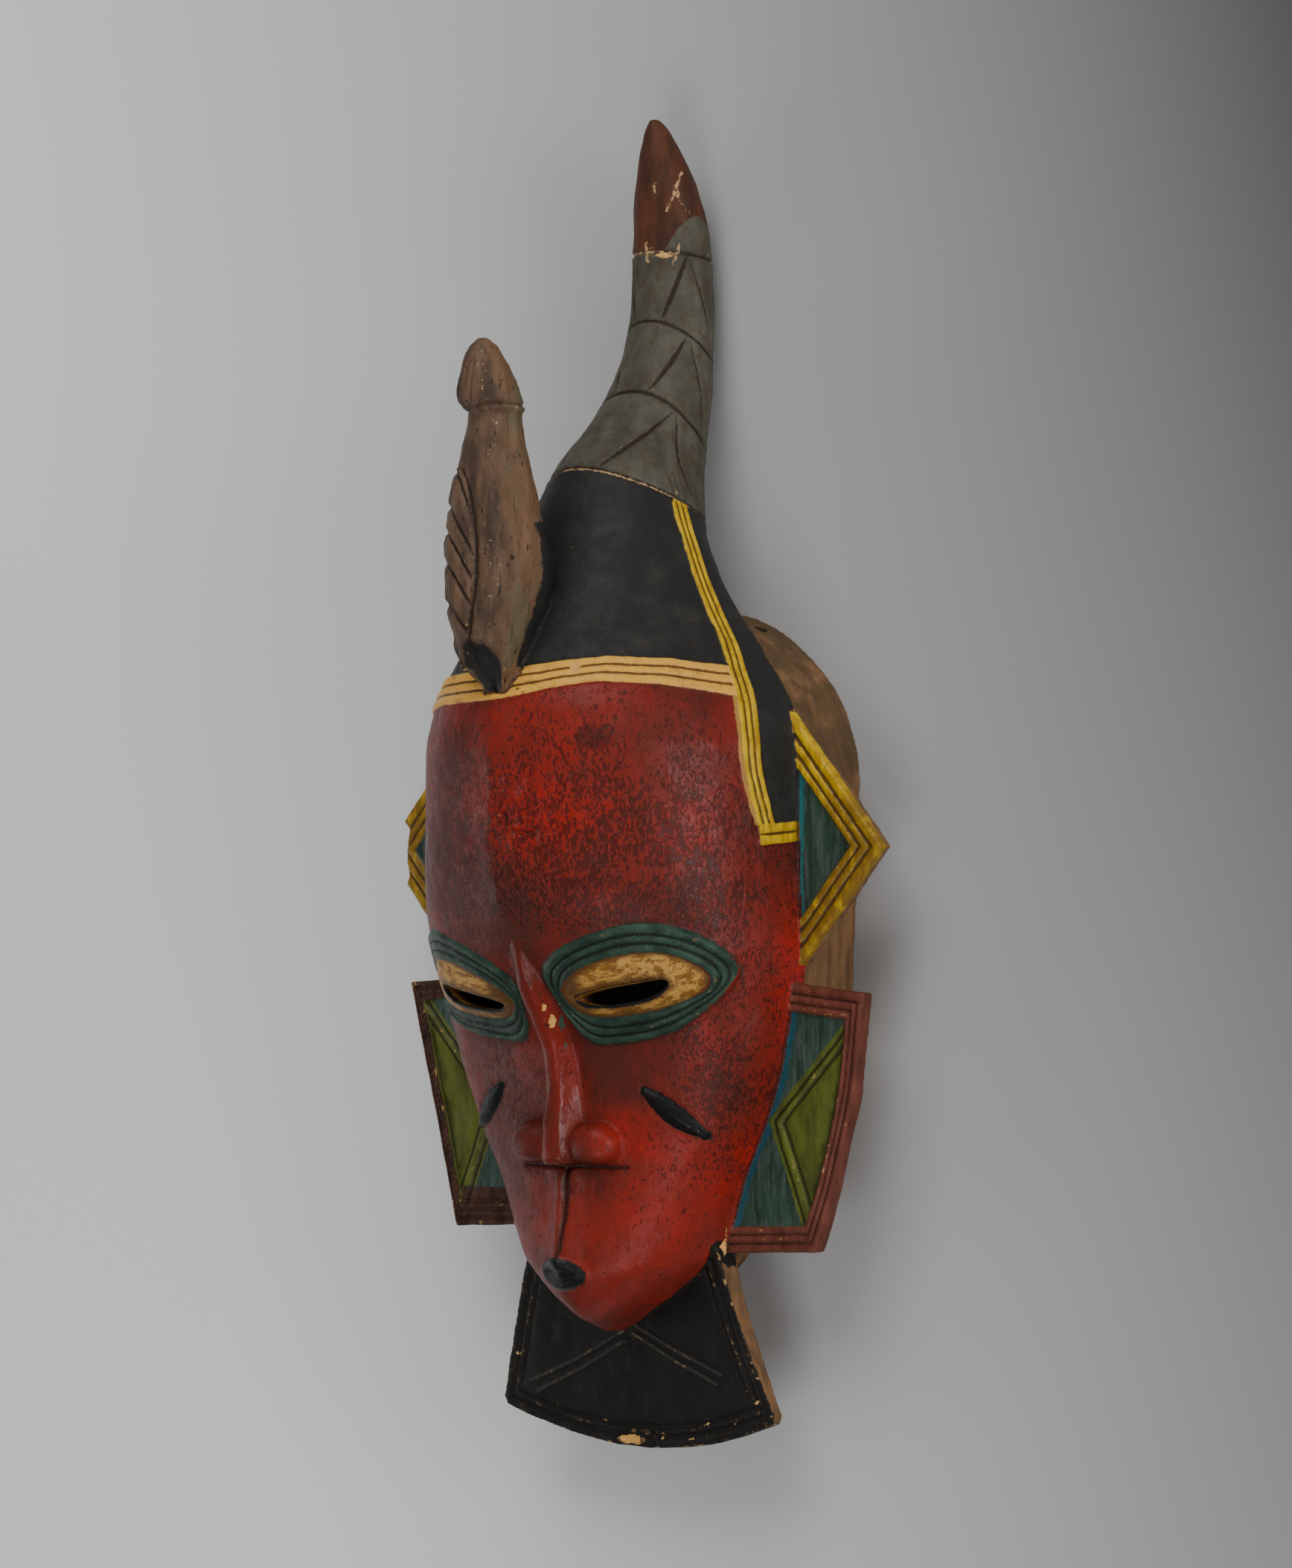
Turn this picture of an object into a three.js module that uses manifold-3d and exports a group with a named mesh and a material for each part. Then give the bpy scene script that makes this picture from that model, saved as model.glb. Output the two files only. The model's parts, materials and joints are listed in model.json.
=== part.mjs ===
// Guro face mask, carved from one block of wood and painted: a hollow face with a horn
// above the brow, a bird standing in front of the horn, four ear plates and a beard plate.
// Millimetres. X runs across the face, Y from the beard up to the horn's tip, and Z from
// the rear rim out of the face. Depths below are measured from the plane where the sides
// of the face begin, and the finished mask is lifted so that its rear rim lies on Z = 0.

import * as THREE from 'three';
import { mergeVertices } from 'three/addons/utils/BufferGeometryUtils.js';
import Module from 'manifold-3d';

const wasm = await Module();
wasm.setup();

const CLEAR = 1.2;             // how far a cutter stands off the surface
const ROOT = 3;                // how far a raised piece is rooted in it
const WELD = 0.002;            // points of the finished skin nearer than this are one

// Driving dimensions of the whole block
const RIM_DEPTH = 36;          // from the plane where the sides begin back to the rear rim
const CHIN_Y = -213;
const HORN_TIP_Y = 260;
const BEARD_TIP_Y = -260;

// Head, from the chin over the face and the hair to the root of the horn:
// height, half width, depth of the front, depth of the back, fullness of the front arc
const HEAD = [
  [CHIN_Y, 2, 22, 12, 2],
  [-206, 11, 38, 6, 2.1],
  [-197, 27, 44.5, 0, 2.2],
  [-184, 45, 47, -4, 2.1],
  [-150, 58, 45, -6, 3.1],
  [-129, 68, 45, -6, 3.7],
  [-105, 76, 48.5, -6, 3.8],
  [-83, 80, 62.5, -6, 2.8],
  [-62, 82, 76, -6, 2.5],
  [-40, 80.5, 85, -6, 2.4],
  [-16, 80, 87, -6, 2.25],
  [12, 79.5, 89, -6, 2.12],
  [27, 76.5, 88, -6, 2],
  [46, 65, 82, -8, 2],
  [66, 50, 69, -12, 2.2],
  [92, 37, 54, -16, 2.5],
  [122, 25.5, 40, -26, 2.5],
  [139, 22.5, 21, -28, 2.4],
  [153, 21, 8, -29.5, 2.3],
  [168, 18.5, 1.5, -32, 2.2],
  [184, 17, -2.4, -34, 2.1],
  [214, 15.5, -3, -32, 2],
  [232, 12.5, -2, -27, 2],
  [246, 8.5, -2.5, -20, 2],
  [256, 4.5, -4, -13, 2],
  [HORN_TIP_Y, 1.5, -5, -9, 2],
];
const CHIN_ROUND_Y = -197;     // rows are set closer below this
const CHIN_ROWS = 3;
const FACE_ROWS = 19;
const HORN_ROW = 16;
const FRONT_STEPS = 16;
const BACK_STEPS = 6;
const ROUND_FROM_Y = 50;       // above this the sides close into a round horn
const ROUND_TO_Y = 120;

// Sharp midline of the forehead, and the ridge between nose and mouth
const CREST = { top: 38, bottom: -62, fade: 20, height: 2.5, halfWidth: 12.5 };
const MUZZLE = { top: -144, bottom: -195, fade: 9, height: 5.5, halfWidth: 9 };

// Raw rear wall of the block: an arch above, the head's own width below
const ARCH = { halfWidth: 80, height: 70, centreY: -1 };
const WALL_TAPER = 0.045;        // narrowing of the rear wall towards the chin
const ARCH_STEPS = 18;
const WALL_FRONT = 2;
const WALL_BOTTOM_Y = -196;
const HEEL = { from: -118, to: -188, depth: -11 };

// Hollow behind the face
const SIDE_WALL = 10;
const FACE_WALL = 12;
const HOLLOW_TOP_Y = 59.5;
const HOLLOW_BOTTOM_Y = -192;
const HOLLOW_ROWS = 13;
const HOLLOW_STEPS = 8;

// Holes for the cord, through the arch on both sides
const CORD_HOLE = { x: 39, y: 60, z: -25, radius: 2.2, length: 34 };

// Ear plates, drawn for the right-hand side. Framed edges carry three carved strips.
const EAR_THICKNESS = 6.5;
const PANEL_SINK = 1.5;
const FRAME_STRIPS = [[0, 4], [4.9, 8.1], [9, 11.6]];
const RIGHT_UPPER_EAR = { front: 4, outline: [[60, 47], [121.5, -24], [60, -95]] };
const LEFT_UPPER_EAR = { front: 4, outline: [[60, 57], [133, -27.2], [60, -111]] };
const LEFT_TIP_LOSS = [[112, 4], [116.4, -8], [120.2, -18], [121.5, -28], [120, -38], [116.8, -46],
  [112, -58], [150, -58], [150, 4]];
const LEFT_LOWER_EAR = { front: 8, outline: [[66, -75.5], [115.4, -79.8], [90.7, -176.5], [34, -173.5]] };
const RIGHT_LOWER_EAR = {
  front: 8,
  outline: [[66, -75.5], [115.4, -79.8], [112.3, -118], [101.5, -156], [92, -179.2], [34, -182.2]],
};
const EAR_LEAF = { top: [103, -90], tip: [73, -129], bottom: [85, -168], shifts: [0, 3.4], width: 2.2 };

// Beard plate, leaning back towards its lower edge
const BEARD = {
  topY: -178, topHalf: 47, cornerY: -246,
  left: { cornerHalf: 71.5, waist: -0.8 },
  right: { cornerHalf: 67.5, waist: 1.6 },
  topFront: 13, tipFront: -1, topThickness: 11, tipThickness: 5,
};
const BEARD_STEPS = 9;
const BEARD_LINE = 6;          // distance of the carved line from the plate's edge

// Nose: height, depth of the ridge, half width of the ridge, half width of the foot
const NOSE = [
  [-147, 54.6, 4.4, 11],
  [-143.6, 56.4, 4.6, 11.5],
  [-136, 56.4, 4.2, 11],
  [-120, 54.8, 3.6, 9.5],
  [-104, 56.6, 3.6, 9],
  [-92, 63, 3.6, 9.5],
  [-80, 70.6, 3.4, 10],
  [-68, 76.4, 2.6, 9],
  [-58, 78.6, 0.6, 3],
];
const NOSTRIL = { x: 14, y: -138.5, z: 44.5, half: [11.5, 8, 9.5] };

// Mouth: a small oval with a rolled lip
const MOUTH = {
  y: -189.5, halfWidth: 10.8, halfHeight: 5.9,
  profile: [[1, -5], [1.02, 1.8], [0.84, 3], [0.6, 1], [0.12, 0.4]],
};

// Eyes, drawn for the right-hand side as closed curves over the face
const EYE_RING = [[8, -77.5], [15, -68.5], [30, -61.3], [51, -55.6], [66.5, -58.8], [75.8, -71],
  [69.5, -84], [55, -95.5], [33, -101], [15, -99.5]];
const EYE_LID = [[13, -83], [20.5, -75.6], [34, -69.8], [51, -66], [62.5, -67.6], [69.5, -75],
  [65, -82.5], [51, -88.3], [32, -91.4], [19, -90.2]];
const EYE_SLIT = [[19, -84], [30, -80.8], [43, -78.3], [54, -76.5], [58, -77.5], [54, -81.5],
  [46, -84.8], [34, -86.6], [23, -86.6]];
const EYE_LIFT = 2;            // the right eye is carved this much higher, the left one lower
const LEFT_EYE_FLAT = 0.18;    // share by which the left eye is flatter below its middle
const RING_PROFILE = [[0, -ROOT], [0.03, 0.3], [0.18, 1.4], [0.34, 0.4], [0.5, 1.4], [0.66, 0.4],
  [0.83, 1.4], [0.98, 0.2], [1, -ROOT]];
const RING_STEPS = 18;
const EYE_MIDDLE = [38, -79.5];
const LID_PROFILE = [[1, -5], [0.99, 0.5], [0.75, 1.8], [0.12, 2.4]];

// Raised scar on each cheek, from its inner to its outer end
const SCAR = { from: [36.6, -118], to: [56.5, -134.4], width: 7.4, rise: 1.5 };

// Painted hair bands, in three carved strips each
const BAND_PITCH = 3.9;
const BAND_RISE = 1;
const HAIRLINE = [[0, 37], [20, 41], [38, 43], [54, 42], [67, 38.5]];
const LEFT_HAIRLINE = [[0, 37], [20, 37], [38, 35.5], [54, 33.5], [67, 31]];
const SIDE_BAND = [[-20, 19], [12, 26], [40, 25], [73, 15], [116, 14]];
const SIDE_BAND_PITCH = 3.1;
const TEMPLE_BAND = { y: -19.5, from: 19.5, to: 1 };

// Carved rings round the horn: height in front, and fall towards the back
const HORN_RINGS = [[122, 26], [153, 28], [181, 22], [208, 4]];
const RING_GROOVE = { width: 1, depth: 1.2 };
const CHEVRON = { front: 20, apex: 62 };

// Bird, standing against the hair with its back to the front:
// height, half width, depth of its back, depth of its belly
const BIRD = [
  [35, 4, 90.5, 82],
  [45, 9, 98, 76],
  [56.5, 13, 104, 69],
  [70, 16.8, 106.5, 63],
  [85.5, 18.8, 107, 62],
  [95, 18.2, 106.3, 67],
  [105, 16.6, 105, 70.5],
  [120.5, 13.6, 102, 74],
  [141, 10.4, 98, 77.5],
  [142, 11.8, 99.5, 76],
  [150, 11, 102.5, 79],
  [157.5, 9.2, 103, 83.5],
  [165.5, 5.5, 100.5, 88.5],
  [169.5, 1.5, 96.5, 93.5],
];
const BIRD_STEPS = 12;
const BEAK = { from: [162, 92], to: [167.5, 81], radius: 3.6 };
const WING = { top: 120, bottom: 44, inner: 16, outer: -84, widestY: 85, rise: 1.2, slant: -15 };
const FEATHERS = 5;
const GROOVE = { width: 1.7, depth: 1.1 };

const radians = THREE.MathUtils.degToRad;

// Smooth interpolation down one column of a table, which never overshoots its rows
function along(table, key, column) {
  const last = table.length - 1;
  const place = THREE.MathUtils.clamp(key, table[0][0], table[last][0]);
  let row = 0;
  while (row < last - 1 && place > table[row + 1][0]) {
    row += 1;
  }
  const span = (j) => table[j + 1][0] - table[j][0];
  const slope = (j) => (table[j + 1][column] - table[j][column]) / span(j);
  const tangent = (j) => {
    if (j === 0) return slope(0);
    if (j === last) return slope(last - 1);
    const product = slope(j - 1) * slope(j);
    return product <= 0 ? 0 : (2 * product) / (slope(j - 1) + slope(j));
  };
  const s = (place - table[row][0]) / span(row);
  const start = table[row][column] * (1 + 2 * s) * (1 - s) ** 2;
  const end = table[row + 1][column] * s * s * (3 - 2 * s);
  const bend = s * (1 - s) * (tangent(row) * (1 - s) - tangent(row + 1) * s);
  return start + end + bend * span(row);
}

// Heights from low to high, evenly spaced
function rows(low, high, count) {
  return Array.from({ length: count + 1 }, (unused, i) => low + ((high - low) * i) / count);
}

// Fade from nothing to one and back to nothing between two heights
function between(y, { top, bottom, fade }) {
  const rise = THREE.MathUtils.smoothstep(y, bottom, bottom + fade);
  return rise * (1 - THREE.MathUtils.smoothstep(y, top - fade, top));
}

// Closed solid from a geometry that has no open edge
function solid(geometry) {
  geometry.deleteAttribute('normal');
  geometry.deleteAttribute('uv');
  const merged = mergeVertices(geometry, 1e-4);
  const vertProperties = new Float32Array(merged.attributes.position.array);
  const triVerts = new Uint32Array(merged.index.array);
  return new wasm.Manifold(new wasm.Mesh({ numProp: 3, vertProperties, triVerts }));
}

// Solid skin over rings of points. The two ends are capped, or a closed run joins up.
function loft(rings, closed = false) {
  const size = rings[0].length;
  const points = rings.flat();
  const faces = [];
  const spans = closed ? rings.length : rings.length - 1;
  for (let i = 0; i < spans; i += 1) {
    const here = i * size;
    const next = ((i + 1) % rings.length) * size;
    for (let j = 0; j < size; j += 1) {
      const k = (j + 1) % size;
      faces.push([here + j, here + k, next + k], [here + j, next + k, next + j]);
    }
  }
  if (!closed) {
    const middle = (ring) => ring.reduce((sum, p) => sum.add(p), new THREE.Vector3()).divideScalar(size);
    const low = points.push(middle(rings[0])) - 1;
    const high = points.push(middle(rings[rings.length - 1])) - 1;
    const top = (rings.length - 1) * size;
    for (let j = 0; j < size; j += 1) {
      const k = (j + 1) % size;
      faces.push([low, k, j], [high, top + j, top + k]);
    }
  }
  const corner = ([a, b, c]) => points[a].dot(points[b].clone().cross(points[c]));
  const volume = faces.reduce((sum, face) => sum + corner(face), 0);
  const outward = volume > 0 ? faces : faces.map(([a, b, c]) => [a, c, b]);
  const geometry = new THREE.BufferGeometry().setFromPoints(points);
  geometry.setIndex(outward.flat());
  return solid(geometry);
}

// Flat plate of an outline, from one depth to another
function plate(outline, back, front) {
  const shape = new THREE.Shape(outline.map(([x, y]) => new THREE.Vector2(x, y)));
  const geometry = new THREE.ExtrudeGeometry(shape, { depth: front - back, bevelEnabled: false });
  geometry.translate(0, 0, back);
  return geometry;
}

// The same piece on the right and on the left of the face
function bothSides(make) {
  return [1, -1].flatMap((side) => make(side));
}

function mirrored(outline, side) {
  return outline.map(([x, y]) => [x * side, y]);
}

// Head section at one height
function headSection(y) {
  const [halfWidth, front, back, fullness] = [1, 2, 3, 4].map((column) => along(HEAD, y, column));
  const round = THREE.MathUtils.smoothstep(y, ROUND_FROM_Y, ROUND_TO_Y);
  return { halfWidth, front, back, fullness, side: Math.max((round * (front + back)) / 2, back) };
}

// Point of the head at a height and an angle round its section, 0 in front
function headPoint(y, angle) {
  const { halfWidth, front, back, fullness, side } = headSection(y);
  const x = halfWidth * Math.sin(angle);
  const c = Math.cos(angle);
  if (c < 0) {
    return new THREE.Vector3(x, y, side + (side - back) * c);
  }
  const crest = CREST.height * between(y, CREST) * Math.max(0, 1 - Math.abs(x) / CREST.halfWidth);
  const muzzle = MUZZLE.height * between(y, MUZZLE) * Math.max(0, 1 - Math.abs(x) / MUZZLE.halfWidth);
  return new THREE.Vector3(x, y, side + (front - side) * c ** (2 / fullness) + crest + muzzle);
}

// Place on the head with its outward direction
function onHead(y, angle) {
  const step = 0.02;
  const up = headPoint(y + 1, angle).sub(headPoint(y - 1, angle));
  const round = headPoint(y, angle + step).sub(headPoint(y, angle - step));
  return { point: headPoint(y, angle), normal: round.cross(up).normalize() };
}

function onFace(x, y) {
  const reach = THREE.MathUtils.clamp(x / headSection(y).halfWidth, -1, 1);
  return onHead(y, Math.asin(reach));
}

function onTemple(y, z, side) {
  const section = headSection(y);
  const share = THREE.MathUtils.clamp((z - section.side) / (section.front - section.side), 0, 1);
  return onHead(y, side * Math.acos(share ** (section.fullness / 2)));
}

// Cross sections of carved strips, as distances across and heights over the surface
function bead(width, rise) {
  return [[width * 0.62, -ROOT], [width * 0.28, rise], [-width * 0.28, rise], [-width * 0.62, -ROOT]];
}

function notch(width, depth) {
  return [[width * 0.1, -depth], [width * 0.9, CLEAR], [-width * 0.9, CLEAR], [-width * 0.1, -depth]];
}

// Several ribs side by side, parted by shallow valleys
function ribs(count, pitch, rise) {
  const edge = (count * pitch) / 2;
  const tops = rows(edge, -edge, 2 * count).map((across, i) => [across, i % 2 ? rise : rise * 0.25]);
  return [[edge, -ROOT], ...tops, [-edge, -ROOT]];
}

// Solid strip of one cross section along places of a surface. It may join up, or taper.
function strip(places, section, { closed = false, taper = () => 1 } = {}) {
  const count = places.length;
  const rings = places.map(({ point, normal }, i) => {
    const before = closed ? places[(i + count - 1) % count] : places[Math.max(i - 1, 0)];
    const after = closed ? places[(i + 1) % count] : places[Math.min(i + 1, count - 1)];
    const ahead = after.point.clone().sub(before.point).normalize();
    const across = normal.clone().cross(ahead).normalize();
    const share = taper(i / (count - 1));
    return section.map(([aside, lift]) => point.clone()
      .addScaledVector(across, aside * share)
      .addScaledVector(normal, lift));
  });
  return loft(rings, closed);
}

// Pad over the face inside a closed outline. Its profile runs from the rim to the middle
// as shares of the outline and heights over the face.
function pad(outline, middle, profile) {
  const rings = profile.map(([share, lift]) => outline.map(([x, y]) => {
    const place = onFace(middle[0] + (x - middle[0]) * share, middle[1] + (y - middle[1]) * share);
    return place.point.addScaledVector(place.normal, lift);
  }));
  return loft(rings);
}

// Closed smooth curve through a few points of the face
function closedCurve(points, side, count) {
  const curve = new THREE.CatmullRomCurve3(
    points.map(([x, y]) => new THREE.Vector3(x * side, y, 0)), true, 'centripetal');
  return rows(0, 1, count).slice(0, count).map((share) => {
    const p = curve.getPoint(share);
    return [p.x, p.y];
  });
}

// Height of a horn's ring at an angle round it, which falls towards the back
function ringHeight([front, fall], angle) {
  return front - (fall * (1 - Math.cos(angle))) / 2;
}

// Face, hair and horn in one skin. Above the hair the rows lean back with the horn, and
// each ring is a row cut into the wood between two rows that aren't.
function head() {
  const angles = [
    ...rows(-90, 90, FRONT_STEPS),
    ...rows(90, 270, BACK_STEPS).slice(1, BACK_STEPS),
  ].map(radians);
  const lean = [[ROUND_FROM_Y, 0], ...HORN_RINGS, [HORN_TIP_Y, 0]];
  const chinRows = rows(CHIN_Y, CHIN_ROUND_Y, CHIN_ROWS).slice(0, CHIN_ROWS);
  const faceRows = [...chinRows, ...rows(CHIN_ROUND_Y, ROUND_FROM_Y, FACE_ROWS)].map((y) => [y, 0]);
  const stops = [ROUND_FROM_Y, ...HORN_RINGS.map(([y]) => y), HORN_TIP_Y];
  const hornRows = stops.slice(1).flatMap((stop, i) => {
    const [from, to] = [stops[i] + (i ? RING_GROOVE.width : 0), stop - RING_GROOVE.width];
    const count = Math.max(1, Math.round((to - from) / HORN_ROW));
    const plain = rows(from, to, count).slice(i ? 0 : 1).map((y) => [y, 0]);
    return i < HORN_RINGS.length ? [...plain, [stop, RING_GROOVE.depth]] : [...plain, [stop, 0]];
  });
  return loft([...faceRows, ...hornRows].map(([y, sink]) => angles.map((angle) => {
    const place = onHead(ringHeight([y, along(lean, y, 1)], angle), angle);
    return place.point.addScaledVector(place.normal, -sink);
  })));
}

// Raw rear wall, with the rim swept up behind the jaw
function rearWall() {
  const arch = rows(0, 180, ARCH_STEPS).map((angle) => [
    ARCH.halfWidth * Math.cos(radians(angle)),
    ARCH.centreY + ARCH.height * Math.sin(radians(angle)),
  ]);
  const cheek = rows(WALL_BOTTOM_Y, ARCH.centreY, 14).slice(0, 14).map((y) => {
    const half = Math.min(headSection(y).halfWidth - 0.6, ARCH.halfWidth + WALL_TAPER * y);
    return [half, y];
  });
  const outline = [...cheek, ...arch, ...mirrored(cheek, -1).reverse()];
  const heel = rows(HEEL.to - 14, HEEL.from, 8).map((y) => {
    const lift = 1 - THREE.MathUtils.smoothstep(y, HEEL.to, HEEL.from);
    return [y, -RIM_DEPTH + (HEEL.depth + RIM_DEPTH) * lift];
  });
  const under = [[HEEL.from, -RIM_DEPTH - 10], [HEEL.to - 14, -RIM_DEPTH - 10]];
  const width = ARCH.halfWidth + 20;
  const section = [...heel, ...under];
  const waste = loft([-width, width].map((x) => section.map(([y, z]) => new THREE.Vector3(x, y, z))));
  return solid(plate(outline, -RIM_DEPTH, WALL_FRONT)).subtract(waste);
}

// Inside of the mask, open to the rear
function hollow() {
  const floor = -RIM_DEPTH - 4;
  const rings = rows(HOLLOW_BOTTOM_Y, HOLLOW_TOP_Y, HOLLOW_ROWS).map((y) => {
    const section = headSection(y);
    const archReach = Math.max(0, (y - ARCH.centreY) / (HOLLOW_TOP_Y - ARCH.centreY + 0.5));
    const archHalf = (ARCH.halfWidth - SIDE_WALL) * Math.sqrt(1 - archReach ** 2);
    const chinReach = THREE.MathUtils.clamp((-160 - y) / (-160 - HOLLOW_BOTTOM_Y + 1), 0, 1);
    const chin = Math.sqrt(1 - chinReach ** 2.5);
    const half = Math.min((section.halfWidth - SIDE_WALL) * chin, archHalf);
    const roof = Math.max(archReach, 0) ** 3;
    const front = (section.front - FACE_WALL) * Math.sqrt(1 - roof * 0.98) * (0.25 + 0.75 * chin);
    const arc = rows(-90, 90, HOLLOW_STEPS).map((angle) => {
      const c = Math.max(0, Math.cos(radians(angle)));
      return new THREE.Vector3(half * Math.sin(radians(angle)), y, front * c ** (2 / section.fullness));
    });
    return [...arc, new THREE.Vector3(half, y, floor), new THREE.Vector3(-half, y, floor)];
  });
  return loft(rings);
}

function cordHole(side) {
  const { x, y, z, radius, length } = CORD_HOLE;
  const outward = new THREE.Vector2(x / ARCH.halfWidth ** 2, (y - ARCH.centreY) / ARCH.height ** 2);
  const geometry = new THREE.CylinderGeometry(radius, radius, length, 10);
  geometry.rotateZ(-Math.atan2(outward.x, outward.y) * side);
  geometry.translate(x * side, y, z);
  return solid(geometry);
}

// Point where two straight edges meet, each given by a point and a direction
function meeting(first, second) {
  const cross = first.dx * second.dy - first.dy * second.dx;
  const reach = ((second.x - first.x) * second.dy - (second.y - first.y) * second.dx) / cross;
  return [first.x + first.dx * reach, first.y + first.dy * reach];
}

// Framed edges of an outline pushed inwards. The last edge is the root in the head, and
// it stays where it is.
function inset(outline, distance) {
  const edges = outline.map(([x, y], i) => {
    const [nextX, nextY] = outline[(i + 1) % outline.length];
    const length = Math.hypot(nextX - x, nextY - y);
    const push = i === outline.length - 1 ? 0 : distance;
    const [dx, dy] = [(nextX - x) / length, (nextY - y) / length];
    return { x: x + dy * push, y: y - dx * push, dx, dy };
  });
  return edges.map((edge, i) => meeting(edges[(i + edges.length - 1) % edges.length], edge));
}

// Ear plate with its carved frame along every edge but the one at the head
function earPlate({ front, outline }, side) {
  const back = front - EAR_THICKNESS;
  const body = solid(plate(mirrored(outline, side), back, front - PANEL_SINK));
  const frame = FRAME_STRIPS.map(([outer, inner]) => {
    const band = [...inset(outline, outer), ...inset(outline, inner).reverse()];
    return solid(plate(mirrored(band, side), back, front));
  });
  return [body, ...frame];
}

// The left upper plate is the larger one, and its tip is lost
function upperEars() {
  const loss = solid(plate(mirrored(LEFT_TIP_LOSS, -1), -20, 20));
  const left = join(earPlate(LEFT_UPPER_EAR, -1)).subtract(loss);
  return [...earPlate(RIGHT_UPPER_EAR, 1), left];
}

// Raised double ridge of the leaf on a lower ear plate
function earLeaf(side) {
  const { top, tip, bottom, shifts, width } = EAR_LEAF;
  const floor = LEFT_LOWER_EAR.front - PANEL_SINK;
  return shifts.map((shift) => strip([top, tip, bottom].map(([x, y]) => ({
    point: new THREE.Vector3((x + shift) * side, y, floor),
    normal: new THREE.Vector3(0, 0, 1),
  })), bead(width, PANEL_SINK)));
}

// Place on the edge of the beard plate, which is waisted on the right and fuller on the left
function beardSide(side, share) {
  const { cornerHalf, waist } = side > 0 ? BEARD.right : BEARD.left;
  return THREE.MathUtils.lerp(BEARD.topHalf, cornerHalf, share) - waist * Math.sin(Math.PI * share);
}

function beardHem(share, inset) {
  const half = beardSide(share, 1) - inset;
  const drop = BEARD.cornerY - BEARD_TIP_Y;
  return [half * share, BEARD.cornerY + inset - drop * (1 - share * share)];
}

function beardOutline() {
  const edge = (side) => rows(0, 1, 5).map((share) => [
    side * beardSide(side, share),
    THREE.MathUtils.lerp(BEARD.topY, BEARD.cornerY, share),
  ]);
  const arc = rows(1, -1, 2 * BEARD_STEPS).slice(1, 2 * BEARD_STEPS).map((share) => beardHem(share, 0));
  return [...edge(1), ...arc, ...edge(-1).reverse()];
}

function beardFront(y) {
  return THREE.MathUtils.mapLinear(y, BEARD.topY, BEARD_TIP_Y, BEARD.topFront, BEARD.tipFront);
}

function beardPlace(x, y) {
  const lean = (BEARD.topFront - BEARD.tipFront) / (BEARD.topY - BEARD_TIP_Y);
  return {
    point: new THREE.Vector3(x, y, beardFront(y)),
    normal: new THREE.Vector3(0, -lean, 1).normalize(),
  };
}

function beard() {
  const geometry = plate(beardOutline(), -1, 0);
  const position = geometry.attributes.position;
  for (let i = 0; i < position.count; i += 1) {
    const y = position.getY(i);
    const thickness = THREE.MathUtils.mapLinear(
      y, BEARD.topY, BEARD_TIP_Y, BEARD.topThickness, BEARD.tipThickness);
    position.setZ(i, beardFront(y) + position.getZ(i) * thickness);
  }
  return solid(geometry);
}

function beardGrooves() {
  const line = notch(1.8, 1.2);
  const sides = bothSides((side) => [strip(rows(0, 1, 3).map((share) => beardPlace(
    side * (beardSide(side, share) - BEARD_LINE),
    THREE.MathUtils.lerp(BEARD.topY, BEARD.cornerY + BEARD_LINE, share))), line)]);
  const chevrons = bothSides((side) => [0, 4].map((drop) => strip(
    [[3, -211 - drop], [24, -223 - drop], [46, -234 - drop * 0.6]]
      .map(([x, y]) => beardPlace(x * side, y)), notch(1.6, 1.1))));
  const hem = strip(rows(-0.93, 0.93, 8).map((share) => beardPlace(...beardHem(share, BEARD_LINE))), line);
  return [...sides, ...chevrons, hem];
}

function nose() {
  const rings = rows(NOSE[0][0], NOSE[NOSE.length - 1][0], 10).map((y) => {
    const [ridge, top, foot] = [1, 2, 3].map((column) => along(NOSE, y, column));
    const base = headSection(y).front - 5;
    return [[-foot, base], [-top, ridge - 0.7], [0, ridge], [top, ridge - 0.7], [foot, base]]
      .map(([x, z]) => new THREE.Vector3(x, y, z));
  });
  return loft(rings);
}

function nostril(side) {
  const geometry = new THREE.SphereGeometry(1, 10, 7);
  geometry.scale(...NOSTRIL.half);
  geometry.translate(NOSTRIL.x * side, NOSTRIL.y, NOSTRIL.z);
  return solid(geometry);
}

function mouth() {
  const outline = rows(0, 360, 14).slice(0, 14).map((angle) => [
    MOUTH.halfWidth * Math.cos(radians(angle)),
    MOUTH.y + MOUTH.halfHeight * Math.sin(radians(angle)),
  ]);
  return pad(outline, [0, MOUTH.y], MOUTH.profile);
}

// Height at which a drawn point of an eye is carved on one side
function eyeHeight(y, side) {
  const below = Math.min(y - EYE_MIDDLE[1], 0);
  return y + EYE_LIFT * side - (side < 0 ? below * LEFT_EYE_FLAT : 0);
}

// Ribs round an eye, and the lid that swells inside them
function eye(side) {
  const ring = closedCurve(EYE_RING, side, RING_STEPS);
  const lid = closedCurve(EYE_LID, side, RING_STEPS);
  const ribbed = loft(lid.map(([x, y], i) => RING_PROFILE.map(([share, height]) => {
    const place = onFace(
      THREE.MathUtils.lerp(x, ring[i][0], share),
      eyeHeight(THREE.MathUtils.lerp(y, ring[i][1], share), side));
    return place.point.addScaledVector(place.normal, height);
  })), true);
  const raisedLid = lid.map(([x, y]) => [x, eyeHeight(y, side)]);
  const bulge = pad(raisedLid, [EYE_MIDDLE[0] * side, eyeHeight(EYE_MIDDLE[1], side)], LID_PROFILE);
  return [ribbed, bulge];
}

function eyeSlit(side) {
  const outline = closedCurve(EYE_SLIT, side, 12);
  return loft([0, 100].map((z) => outline.map(
    ([x, y]) => new THREE.Vector3(x, eyeHeight(y, side), z))));
}

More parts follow.
